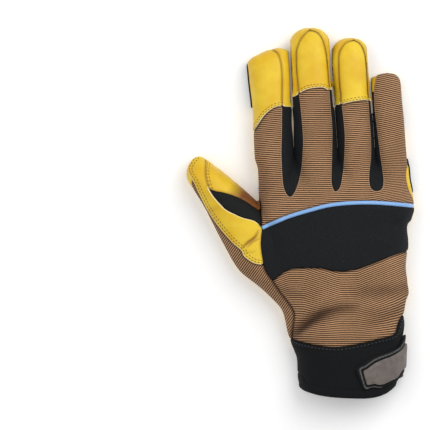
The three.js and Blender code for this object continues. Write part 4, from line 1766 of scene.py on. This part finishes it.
class Workshop:
    """Cuts panels from the skin, dresses them and seats trim on them."""

    GAP_CLOSING = 0.42

    def __init__(self) -> None:
        """Makes the skin, with its folds, and the finishes."""
        self.finishes = Finishes()
        self.dressed: dict[str, Object] = {}
        skin = Form().skin()
        shapes = [fold.shape(skin.points, skin.normals) for fold in FOLDS]
        # painted shade for the bottoms of the folds, carried in the crease attribute
        creases = np.max([fold.painted_shade_strength * shape for fold, shape in zip(FOLDS, shapes)], axis=0)
        depth = np.sum([fold.depth * shape for fold, shape in zip(FOLDS, shapes)], axis=0)
        floor = np.clip((skin.normals[:, 2] + 0.75) * 4, 0, 1)
        gap = np.min([line.distance(skin.points) for line in GAP_LINES], axis=0)
        near = np.exp(-((gap / 1.5) ** 4)) * np.clip(1.2 - np.abs(skin.normals[:, 2]), 0, 1)
        uneven = waviness(skin.points) * floor * np.clip(gap / 3, 0, 1)
        skin.press(depth + uneven - self.GAP_CLOSING * near, creases)
        self.skin = skin
        self.tree = BVHTree.FromPolygons(skin.points.tolist(), skin.faces.tolist())
        LOG.info("skin: %d points", len(skin.points))

    def sew(self, panel: Panel) -> None:
        """Makes one panel and seats it in the frame in place of its solid.

        Args:
            panel: What to make.
        """
        finishing = panel.finishing
        inset = finishing.gap + finishing.thickness / 2
        sheet = self.skin.cut(panel.region, inset, finishing.lift)
        points, faces, attributes = build_shell(sheet, finishing, panel.lapped, panel.extra)
        points[:, 2] = np.maximum(points[:, 2], 0.03)
        attributes |= {mark: measure(points) for mark, measure in panel.marks.items()}
        name = f"{panel.node}_dressed"
        thing = make_object(name, points, faces, panel.material, attributes)
        self.seat(thing, panel.slot, panel.node)
        self.dressed[panel.node] = thing

    def seat(self, thing: Object, slot: Slot, *nodes: str) -> None:
        """Rides an object on the frame and hides the solids it stands for.

        Args:
            thing: The object.
            slot: Its slot in the record, which is not used.
            nodes: The solids it replaces, if any.
        """
        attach(thing, "root")
        if nodes:
            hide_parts(*nodes)
        LOG.info("%s: %d faces", thing.name, len(thing.data.polygons))


LEATHER = Finishing(thickness=1.3, dip=0.35, dip_width=0.9, gap=0.06, profile=Profile.CUT)
FABRIC = Finishing(thickness=1.0, dip=0.3)
FABRIC_CUT = Finishing(thickness=1.0, dip=0.3, profile=Profile.CUT, lap_lift=0.05, lap_width=1.5)
BAND = Finishing(thickness=1.9, lift=0.8, dip=0.5, dip_width=1.6)
PATCH = Finishing(thickness=0.9, lift=0.98, dip=0.1, profile=Profile.CUT)


@dataclass
class FingerCovers:
    """The backs, side walls and leather tips of the fingers."""

    shop: Workshop
    plan: Cutting
    seam_room: float = 1.0

    def panels(self) -> list[Panel]:
        """The panels of the fingers.

        Returns:
            The panels.
        """
        plan, finishes = self.plan, self.shop.finishes
        valleys = plan.valleys
        caps = (plan.index_tip, plan.middle_tip, plan.ring_tip)
        tips = dict(zip(FINGERS, (*caps, plan.little_wall)))
        around = {name: [valley for valley in valleys if name in valley.split("_")] for name in tips}
        back = above(both(
            plan.fingers, *(outside(region) for region in (*caps, *valleys.values())),
            beside(Line(SEAMS.piping), self.seam_room),
        ))
        sides = tuple(Line(valley) for valley in SEAMS.valleys.values())
        ribs = {"rib": finger_ribs}
        made = [Panel("back_upper", back, Slot.STRETCH, finishes.stretch, FABRIC_CUT, sides, None, ribs)]
        for name, valley in valleys.items():
            region = above(both(valley, *(outside(tips[finger]) for finger in name.split("_"))))
            made.append(Panel(f"fourchette_{name}", region, Slot.BAND, finishes.band, FABRIC))
        leather = {
            f"{name}_tip": both(tips[name], *(outside(valleys[valley]) for valley in around[name]))
            for name in SEAMS.tip_edges
        }
        for name, near in around.items():
            for valley in near:
                side = "" if len(near) == 1 else "_left" if valley.endswith(name) else "_right"
                leather[f"{name}_tip_wall{side}"] = both(tips[name], valleys[valley])
        for node, region in leather.items():
            edge = SEAMS.tip_edges.get(node.split("_")[0])
            lapped = (Line(edge),) if edge is not None else ()
            made.append(Panel(node, above(region), Slot.LEATHER, finishes.leather, LEATHER, lapped))
        return made


@dataclass
class ThumbCovers:
    """The fabric, leather and web patch of the thumb."""

    shop: Workshop
    plan: Cutting

    def panels(self) -> list[Panel]:
        """The panels of the thumb.

        Returns:
            The panels.
        """
        plan, finishes = self.plan, self.shop.finishes
        strip_line = Line(SEAMS.strip_edge)
        web_line = Line(SEAMS.web_low[:-6])
        south = outside(plan.cuff_above)
        return [
            Panel(
                "thumb_back", above(both(plan.thumb_back, south)), Slot.STRETCH, finishes.stretch,
                FABRIC, marks={"rib": thumb_ribs},
            ),
            Panel(
                "thumb_strip", above(plan.thumb_strip), Slot.LEATHER, finishes.leather, LEATHER,
                (strip_line, web_line),
            ),
            Panel(
                "thumb_inner", above(plan.thumb_inner), Slot.LEATHER, finishes.leather, LEATHER,
                # share of painted shade towards the web
                marks={"thumb_web_shade": thumb_web_shade_share},
            ),
            Panel("web_patch", above(plan.web), Slot.SYNTHETIC, finishes.web, FABRIC),
        ]


@dataclass
class BackCovers:
    """The knuckle band, its piping and the fabric between band and cuff."""

    shop: Workshop
    plan: Cutting
    piping_radius: float = 1.35
    piping_room: float = 1.0

    def panels(self) -> list[Panel]:
        """The panels of the back of the hand.

        Returns:
            The panels.
        """
        plan, finishes = self.plan, self.shop.finishes
        band = both(plan.band, beside(Line(SEAMS.piping), self.piping_room))
        back = both(plan.back, outside(plan.cuff_above))
        return [
            Panel("knuckle_band", above(band), Slot.BAND, finishes.band, BAND),
            Panel(
                "back_lower", above(back), Slot.STRETCH, finishes.stretch, FABRIC, marks={"rib": back_ribs}
            ),
        ]

    def piping(self) -> None:
        """Makes the round trim between the band and the fingers' fabric."""
        path, normals = drape(SEAMS.piping, self.shop.tree)
        sink = 1.5 * np.clip((0.65 - normals[:, 2:]) / 0.5, 0, 1)
        middle = path + normals * (0.15 * self.piping_radius - sink)
        points, faces = tube(middle, normals, self.piping_radius, self.piping_radius * 0.9)
        thing = make_object("piping_dressed", points, faces, self.shop.finishes.piping)
        self.shop.seat(thing, Slot.PIPING, "piping")


@dataclass
class PalmCovers:
    """The leather palm and its black reinforcements."""

    shop: Workshop
    plan: Cutting
    flank_reach: float = 7.5
    low_reach: float = 2.6

    def panels(self) -> list[Panel]:
        """The panels of the palm.

        Returns:
            The panels.
        """
        finishes = self.shop.finishes
        palm = below(outside(self.plan.cuff_below))
        made = [Panel("palm_leather", palm, Slot.LEATHER, finishes.leather, LEATHER)]
        for node, line in self.outlines().items():
            region = Line(line, closed=True).inside
            region = self._underneath(region, node)
            made.append(Panel(node, region, Slot.SYNTHETIC, finishes.synthetic, PATCH))
        return made

    def _underneath(self, region: Region, node: str) -> Region:
        """The part of a region on the underside, which may reach a little up the flank.

        Args:
            region: The region.
            node: Whose it is.

        Returns:
            The cut region.
        """
        places = {"index_patch": (-56.0, 129.0, 12.0), "little_base_patch": (36.0, 71.0, 8.0)}
        start, middle, half = places.get(node, (FAR_AWAY**3, 0.0, 0.0))

        def reach(points: Points) -> Array:
            """How far points are below the region's upper end.

            Args:
                points: What is measured.

            Returns:
                The distances in millimetres.
            """
            x, y, z = points.T
            outer = (x - start) * np.sign(start) > 0
            side = np.clip(1 - np.maximum(np.abs(y - middle) - half, 0) / 5, 0, 1)
            return self.low_reach + (self.flank_reach - self.low_reach) * side * outer - z

        return lambda points: np.minimum(region(points), reach(points))

    def outlines(self) -> dict[str, Points]:
        """The plan outline of each reinforcement.

        Returns:
            Plan points by the reinforcement's name.
        """

        def tip(finger: Stall, low: float, high: float, half: float, bend: float) -> Points:
            """A fingertip's patch, in shares of the finger.

            Args:
                finger: The finger's frame.
                low: Where the patch starts.
                high: Where it ends.
                half: Half its width.
                bend: How much its lower edge leans.

            Returns:
                Plan points.
            """
            return through(
                finger.at, (low - bend, -half), (low, 0), (low + bend, half), ((low + high) / 2, half),
                (high - 0.14, half * 0.9), (high - 0.03, half * 0.5), (high, 0),
                (high - 0.03, -half * 0.5), (high - 0.14, -half * 0.9), ((low + high) / 2, -half),
                closed=True,
            )

        turns = np.linspace(0, 2 * math.pi, 48, endpoint=False)
        wide = np.where(np.cos(turns) > 0, 15.0, 8.8)
        little_base = hand(0.345, 0.54) + np.stack([wide * np.cos(turns), 16.2 * np.sin(turns)], 1)
        return {
            "index_patch": outline(
                INDEX.at(0.47, -1.5), INDEX.at(0.49, 0), INDEX.at(0.51, 0.9), INDEX.at(0.8, 0.92),
                INDEX.at(0.93, 0.8), INDEX.at(0.98, 0.4), INDEX.at(0.96, -0.2), INDEX.at(0.91, -0.8),
                INDEX.at(0.885, -1.5),
            ).points,
            "middle_patch": tip(MIDDLE, 0.5, 0.95, 0.82, -0.01),
            "ring_patch": tip(RING, 0.48, 0.97, 0.82, -0.01),
            "little_patch": tip(LITTLE, 0.37, 0.98, 0.96, -0.03),
            "little_base_patch": little_base,
            "knuckle_patch": through(
                hand, (-0.5, 0.6), (-0.34, 0.6), (-0.285, 0.65), (-0.265, 0.73), (-0.19, 0.785),
                (-0.12, 0.73), (-0.1, 0.64), (-0.065, 0.585), (-0.03, 0.64), (-0.01, 0.7), (0.07, 0.755),
                (0.145, 0.69), (0.15, 0.58), (0.19, 0.47), (0.265, 0.34), (0.18, 0.355), (-0.06, 0.41),
                (-0.26, 0.443), (-0.48, 0.485), (-0.51, 0.54), closed=True,
            ),
            "heel_patch": through(
                hand, (-0.305, 0.33), (-0.24, 0.375), (0.13, 0.346), (0.3, 0.29), (0.375, 0.14),
                (0.35, -0.01), (0.175, -0.12), (0.03, -0.11), (-0.16, -0.05), (-0.285, 0.043),
                (-0.355, 0.155), (-0.285, 0.23), (-0.1, 0.18), (0.12, 0.105), (0.165, 0.115),
                (0.15, 0.14), (0.07, 0.194), (-0.26, 0.27), closed=True,
            ),
            "crotch_patch": through(
                hand, (-0.56, 0.52), (-0.49, 0.47), (-0.43, 0.405), (-0.396, 0.34), (-0.42, 0.27),
                (-0.48, 0.238), (-0.55, 0.28), (-0.585, 0.34), (-0.555, 0.4), closed=True,
            ),
        }


@dataclass
class CuffAndStrap:
    """The cuff, the strap that closes it and the bare plate on the strap."""

    shop: Workshop
    plan: Cutting
    cuff_wall: float = 2.4
    cuff_raise: float = 0.4
    strap_thickness: float = 1.8
    plate_thickness: float = 1.6
    hem_width: float = 6.0
    top_hem: float = 3.4
    clearance: float = 0.3

    def strap_line(self) -> Line:
        """Draws the strap as seen from above.

        Returns:
            The plan outline of the strap.
        """
        return outline(
            through(
                cuff, (0.052, 0.457), (0.111, 0.382), (0.211, 0.252), (0.31, 0.179), (0.409, 0.114),
                (0.465, 0.032), (0.497, -0.127), (0.6, -0.3)
            ),
            through(
                cuff, (0.7, 0.5), (0.52, 0.6), (0.441, 0.668), (0.349, 0.758), (0.282, 0.805),
                (0.227, 0.791), (0.179, 0.814), (0.14, 0.864)
            ),
        )

    def plate_line(self) -> Line:
        """Draws the plate as seen from above.

        Returns:
            The plan outline of the plate.
        """
        return outline(
            through(
                cuff, (0.125, 0.488), (0.163, 0.457), (0.195, 0.408), (0.243, 0.342), (0.31, 0.285),
                (0.369, 0.243), (0.428, 0.187), (0.484, 0.114), (0.5, 0.065), (0.56, -0.1)
            ),
            through(
                cuff, (0.6, 0.4), (0.5, 0.48), (0.449, 0.61), (0.369, 0.692), (0.31, 0.741), (0.262, 0.749),
                (0.235, 0.732), (0.163, 0.758)
            ),
        )

    def panels(self) -> list[Panel]:
        """The cuff, strap and plate.

        Returns:
            The panels.
        """
        finishes = self.shop.finishes
        plan = self.plan
        region = both(either(above(plan.cuff_above), plan.cuff_below), outside(plan.mouth))
        mouth, top, edge = Line(SEAMS.mouth), Line(SEAMS.cuff_top), self.plate_line()

        def hem(points: Points) -> Array:
            """The grooves of the cuff's two hems."""
            high = np.exp(-(((top.distance(points) - self.top_hem) / 0.7) ** 2)) * (points[:, 2] > 8)
            return -0.5 * high - 0.55 * np.exp(-(((mouth.distance(points) - self.hem_width) / 0.7) ** 2))

        def ridge(points: Points) -> Array:
            """The raised rim round the plate, with its groove."""
            away = edge.distance(points)
            return 0.5 * np.exp(-(((away - 1.9) / 0.6) ** 2)) - 0.4 * np.exp(-(((away - 0.6) / 0.5) ** 2))

        def painted_rim_highlight(points: Points) -> Array:
            """How far points are on the painted highlight line along that rim."""
            return np.exp(-(((edge.distance(points) - 1.9) / 0.36) ** 2))

        strap_top = self.cuff_raise + self.clearance + self.strap_thickness
        plate_top = strap_top + self.plate_thickness
        return [
            Panel(
                "cuff_band", region, Slot.CUFF, finishes.cuff,
                Finishing(thickness=self.cuff_wall, lift=self.cuff_raise, dip=0.4, dip_width=1.2), (), hem,
            ),
            Panel(
                "strap", above(self.strap_line().inside), Slot.CUFF, finishes.cuff,
                Finishing(thickness=self.strap_thickness, lift=strap_top, dip=0.15, gap=0.0), (), ridge,
                {"painted_rim_highlight": painted_rim_highlight},
            ),
            Panel(
                "strap_plate", above(edge.inside), Slot.PLATE, finishes.plate,
                Finishing(thickness=self.plate_thickness, lift=plate_top, dip=0.3, dip_width=0.6, gap=0.0),
            ),
        ]


def drape(line: Points, tree: BVHTree, flank: float = 6.5) -> tuple[Points, Array]:
    """A plan line laid on the skin from above, and down the flank past its end.

    Args:
        line: Plan points.
        tree: What the line is laid on.
        flank: How low the line runs where it leaves the glove's outline.

    Returns:
        The points on the skin and the normals there.
    """
    places, normals = [], []
    for x, y in line:
        hit, normal, _, _ = tree.ray_cast((x, y, 60.0), (0, 0, -1))
        if hit is not None and normal.z > 0.25:
            places.append(np.array(hit))
            normals.append(np.array(normal))
    away = unit(line[-1] - line[-2])
    if len(places) < len(line):
        last = places[-1]
        for height in np.arange(last[2] - 1.5, flank, -1.5):
            start = (*(last[:2] + 20 * away), height)
            hit, normal, _, _ = tree.ray_cast(start, (*-away, 0))
            if hit is not None:
                places.append(np.array(hit))
                normals.append(np.array(normal))
    path, normals = np.array(places), np.array(normals)
    for _ in range(4):
        normals[1:-1] = (normals[:-2] + 2 * normals[1:-1] + normals[2:]) / 4
    return path, unit(normals)


def tube(
    path: Points, normals: Array, across: float, high: float, sides: int = 16
) -> tuple[Points, Array]:
    """A closed oval tube along a path.

    Args:
        path: The points of its middle.
        normals: Which way is up at each point.
        across: Half its width.
        high: Half its height.
        sides: How many faces go round.

    Returns:
        Points and faces.
    """
    along = unit(np.gradient(path, axis=0))
    side = unit(np.cross(along, normals))
    up = np.cross(side, along)
    turns = np.arange(sides) * 2 * math.pi / sides
    rings = [path + across * math.cos(turn) * side + high * math.sin(turn) * up for turn in turns]
    points = np.stack(rings, axis=1).reshape(-1, 3)
    count = len(path)
    points = np.concatenate([points, path[:1], path[-1:]])
    faces = []
    for k in range(sides):
        a = np.arange(count - 1) * sides + k
        b = np.arange(count - 1) * sides + (k + 1) % sides
        faces += [np.column_stack([a, b, b + sides]), np.column_stack([a, b + sides, a + sides])]
        end = (count - 1) * sides
        faces.append(np.array([[count * sides, (k + 1) % sides, k]]))
        faces.append(np.array([[count * sides + 1, end + k, end + (k + 1) % sides]]))
    return points, np.concatenate(faces)


@dataclass(frozen=True)
class Stitch:
    """One stitch of a run: its spacing, length and thickness in millimetres."""

    spacing: float = 2.3
    length: float = 1.7
    thickness: float = 0.5


class StitchTree(Nodes):
    """The Geometry Nodes tree that sets stitches along lines."""

    KINDS = {
        "Lines": "Geometry", "Spacing": "Float", "Length": "Float", "Thickness": "Float", "Seed": "Int",
        "Thread": "Material",
    }

    def __init__(self) -> None:
        """Builds the tree with its named inputs."""
        super().__init__(bpy.data.node_groups.new("stitches_along_lines", "GeometryNodeTree"))
        face = self.tree.interface
        self.sockets = {
            name: face.new_socket(name, in_out="INPUT", socket_type=f"NodeSocket{kind}").identifier
            for name, kind in self.KINDS.items()
        }
        face.new_socket("Stitches", in_out="OUTPUT", socket_type="NodeSocketGeometry")
        given = self.add("NodeGroupInput").outputs
        curve = self.add("GeometryNodeMeshToCurve", {"Mesh": given["Lines"]}).outputs["Curve"]
        spaced = self.add(
            "GeometryNodeResampleCurve", {"Curve": curve, "Length": given["Spacing"]}, mode="LENGTH"
        ).outputs["Curve"]
        up = self.add("GeometryNodeInputNamedAttribute", {"Name": "up"}, data_type="FLOAT_VECTOR")
        along = self.add("GeometryNodeInputTangent").outputs["Tangent"]
        axes = {"Primary Axis": along, "Secondary Axis": up.outputs["Attribute"]}
        laid = self.add("FunctionNodeAxesToRotation", axes, primary_axis="X", secondary_axis="Z")
        skew = self.add("FunctionNodeRandomValue", {2: -0.14, 3: 0.14, "Seed": given["Seed"]}).outputs[1]
        twist = self.add("FunctionNodeAxisAngleToRotation", {"Axis": (0, 0, 1), "Angle": skew})
        turns = {0: laid.outputs[0], 1: twist.outputs[0]}
        turn = self.add("FunctionNodeRotateRotation", turns, rotation_space="LOCAL").outputs[0]
        bead = self.add("GeometryNodeMeshUVSphere", {"Segments": 6, "Rings": 4, "Radius": 0.5})
        smooth = self.add("GeometryNodeSetShadeSmooth", {"Geometry": bead.outputs["Mesh"]}).outputs[0]
        size = {"X": given["Length"], "Y": given["Thickness"], "Z": given["Thickness"]}
        scale = self.add("ShaderNodeCombineXYZ", size).outputs[0]
        copies = {"Points": spaced, "Instance": smooth, "Rotation": turn, "Scale": scale}
        placed = self.add("GeometryNodeInstanceOnPoints", copies).outputs[0]
        plain = self.add("GeometryNodeRealizeInstances", {"Geometry": placed}).outputs[0]
        coloured = {"Geometry": plain, "Material": given["Thread"]}
        self.add("NodeGroupOutput", {0: self.add("GeometryNodeSetMaterial", coloured).outputs[0]})

    def sewn(
        self, name: str, runs: Sequence[tuple[Points, Array]], stitch: Stitch, thread: Material
    ) -> Object:
        """A plain mesh of stitches along some lines.

        Args:
            name: The object's name.
            runs: The points of each line in millimetres, with the way up at each.
            stitch: The stitch.
            thread: Its finish.

        Returns:
            The object, linked to the scene.
        """
        mesh = bpy.data.meshes.new(name)
        edges, first = [], 0
        for path, _ in runs:
            edges += [(k, k + 1) for k in range(first, first + len(path) - 1)]
            first += len(path)
        mesh.from_pydata((np.concatenate([path for path, _ in runs]) * METRES).tolist(), edges, [])
        ups = np.concatenate([up for _, up in runs]).astype(np.float32)
        mesh.attributes.new("up", "FLOAT_VECTOR", "POINT").data.foreach_set("vector", ups.ravel())
        thing = bpy.data.objects.new(name, mesh)
        bpy.context.scene.collection.objects.link(thing)
        modifier = thing.modifiers.new("stitches", "NODES")
        modifier.node_group = self.tree
        sizes = {"Spacing": stitch.spacing, "Length": stitch.length, "Thickness": stitch.thickness}
        for key, size in sizes.items():
            modifier[self.sockets[key]] = size * METRES
        modifier[self.sockets["Seed"]] = SEED
        modifier[self.sockets["Thread"]] = thread
        seen = thing.evaluated_get(bpy.context.evaluated_depsgraph_get())
        plain = bpy.data.meshes.new_from_object(seen)
        thing.modifiers.remove(modifier)
        thing.data = plain
        return thing


def moved_aside(line: Points, away: float) -> Points:
    """A plan line moved to its left by some millimetres, in even steps.

    Args:
        line: Plan points.
        away: How far it moves.

    Returns:
        The moved line's points.
    """
    steps = np.linalg.norm(np.diff(line, axis=0), axis=1)
    places = np.concatenate([[0], np.cumsum(steps)])
    even = np.linspace(0, places[-1], max(int(places[-1] / 0.6), 4))
    path = np.column_stack([np.interp(even, places, line[:, k]) for k in (0, 1)])
    run = unit(np.gradient(path, axis=0))
    return path + away * np.column_stack([-run[:, 1], run[:, 0]])


def laid_on(thing: Object, line: Points, side: int) -> list[tuple[Points, Array]]:
    """The stretches of a plan line that lie on an object.

    Args:
        thing: What the line is laid on.
        line: Plan points.
        side: 1 to lay it on from above, -1 from below.

    Returns:
        Points and normals of each stretch.
    """
    mesh = thing.data
    places = np.empty(len(mesh.vertices) * 3, np.float32)
    mesh.vertices.foreach_get("co", places)
    corners = np.empty(len(mesh.loops), np.int32)
    mesh.loops.foreach_get("vertex_index", corners)
    tree = BVHTree.FromPolygons((places.reshape(-1, 3) / METRES).tolist(), corners.reshape(-1, 3).tolist())
    runs: list[list[tuple[Array, Array]]] = [[]]
    for x, y in line:
        hit, normal, _, _ = tree.ray_cast((x, y, 60.0 * side), (0, 0, -side))
        if hit is None or abs(normal.z) < 0.25:
            runs.append([])
            continue
        up = np.array(normal) * np.sign(normal.z) * side
        if runs[-1] and abs(runs[-1][-1][0][2] - hit.z) > 1.2:
            runs.append([])
        runs[-1].append((np.array(hit) + 0.1 * up, up))
    return [tuple(np.array(column) for column in zip(*run)) for run in runs if len(run) > 6]


@dataclass
class Stitches:
    """The seams' stitches, laid on the finished panels."""

    shop: Workshop
    palm: PalmCovers
    row_places: tuple[float, float] = (0.9, 2.3)

    def sew(self) -> None:
        """Sews every row."""
        tree, finishes = StitchTree(), self.shop.finishes
        rows = {f"{name}_tip": (SEAMS.tip_edges[name], self.row_places, 1) for name in SEAMS.tip_edges}
        rows["thumb_strip"] = (SEAMS.strip_edge, (1.3, 2.9), 1)
        rows["thumb_inner"] = (SEAMS.strip_seam, (1.0, 2.4), 1)
        for node, line in self.palm.outlines().items():
            rows[node] = (np.concatenate([line, line[:1]]), (2.0, 3.2), -1)
        for node, (line, offsets, side) in rows.items():
            thing = self.shop.dressed[node]
            inward = 1 if side == 1 or self._turns_left(line) else -1
            moved = [moved_aside(line, inward * away) for away in offsets]
            runs = [run for row in moved for run in laid_on(thing, row, side)]
            thread, slot = finishes.grey_thread, Slot.SYNTHETIC
            if side == 1:
                thread, slot = finishes.dark_thread, Slot.LEATHER
            self.shop.seat(tree.sewn(f"{node}_stitches", runs, Stitch(), thread), slot)
        for name, valley in SEAMS.valleys.items():
            runs = [
                run for finger in name.split("_") if f"{finger}_tip" in self.shop.dressed
                for run in laid_on(self.shop.dressed[f"{finger}_tip"], moved_aside(valley, -1.05), 1)
            ]
            thing = tree.sewn(f"{name}_stitches", runs, Stitch(1.7, 1.2, 0.3), finishes.dark_thread)
            self.shop.seat(thing, Slot.LEATHER)
        runs = laid_on(self.shop.dressed["cuff_band"], moved_aside(SEAMS.cuff_top, -1.6), 1)
        thing = tree.sewn("cuff_stitches", runs, Stitch(2.6, 1.4, 0.4), finishes.grey_thread)
        self.shop.seat(thing, Slot.CUFF)

    def _turns_left(self, line: Points) -> bool:
        """Whether a closed plan line runs anticlockwise."""
        x, y = line[:-1].T
        return float(np.sum(x * np.roll(y, -1) - y * np.roll(x, -1))) > 0


@dataclass(frozen=True)
class Stage:
    """The floor, the light and the camera, straight above the glove."""

    middle: tuple[float, float] = (-87.75, 43.9)
    frame_width: float = 290.25
    height: float = 6000.0
    floor_colour: tuple = linear(250, 250, 250)
    floor_reach: float = 1500.0
    floor_place: float = -0.05

    def floor(self) -> None:
        """Lays a plain pale floor."""
        shader = Shader("floor_paint", Roughness=0.9, Specular_IOR_Level=0.1, Emission_Strength=0.15)
        shader.feed(shader.surface.inputs["Emission Color"], (1, 1, 1, 1))
        reach = self.floor_reach
        corners = np.array([(x, y, self.floor_place) for x, y in (
            (-reach, -reach), (reach, -reach), (reach, reach), (-reach, reach)
        )])
        thing = make_object("floor", corners, np.array([[0, 1, 2, 3]]), shader.done(self.floor_colour))

    def light(self) -> None:
        """Soft studio light: a large one above, and pale light all round."""
        world = bpy.data.worlds.new("studio")
        world.use_nodes = True
        world.node_tree.nodes["Background"].inputs["Color"].default_value = (1.0, 1.0, 1.0, 1.0)
        world.node_tree.nodes["Background"].inputs["Strength"].default_value = 0.47
        bpy.context.scene.world = world
        for name, place, size, power in (
            ("key", (480, 480, 850), 900, 6.4),
            ("fill", (-520, 100, 900), 800, 2.6),
        ):
            lamp = bpy.data.lights.new(name, "AREA")
            lamp.size = size * METRES
            lamp.energy = power
            thing = bpy.data.objects.new(name, lamp)
            thing.location = [value * METRES for value in place]
            aim = np.array([-20, 40, 0]) - np.array(place)
            thing.rotation_euler = (
                math.atan2(math.hypot(aim[0], aim[1]), -aim[2]),
                0.0,
                math.atan2(aim[1], aim[0]) - math.pi / 2,
            )
            bpy.context.scene.collection.objects.link(thing)

    def camera(self) -> None:
        """The camera looks straight down, with the top of the frame to the fingertips."""
        lens = bpy.data.cameras.new("camera")
        lens.angle = 2 * math.atan(self.frame_width / 2 / self.height)
        thing = bpy.data.objects.new("camera", lens)
        thing.location = (self.middle[0] * METRES, self.middle[1] * METRES, self.height * METRES)
        bpy.context.scene.collection.objects.link(thing)
        bpy.context.scene.camera = thing


def main() -> None:
    """Builds the stage and every sub-assembly."""
    logging.basicConfig(level=logging.INFO, format="%(name)s: %(message)s")
    stage = Stage()
    stage.floor()
    stage.light()
    stage.camera()
    shop, plan = Workshop(), Cutting()
    back, palm = BackCovers(shop, plan), PalmCovers(shop, plan)
    for assembly in (
        FingerCovers(shop, plan), ThumbCovers(shop, plan), back, palm, CuffAndStrap(shop, plan)
    ):
        for panel in assembly.panels():
            shop.sew(panel)
    back.piping()
    Stitches(shop, palm).sew()
    bpy.context.scene.view_settings.view_transform = "Standard"


if __name__ == "__main__":
    main()
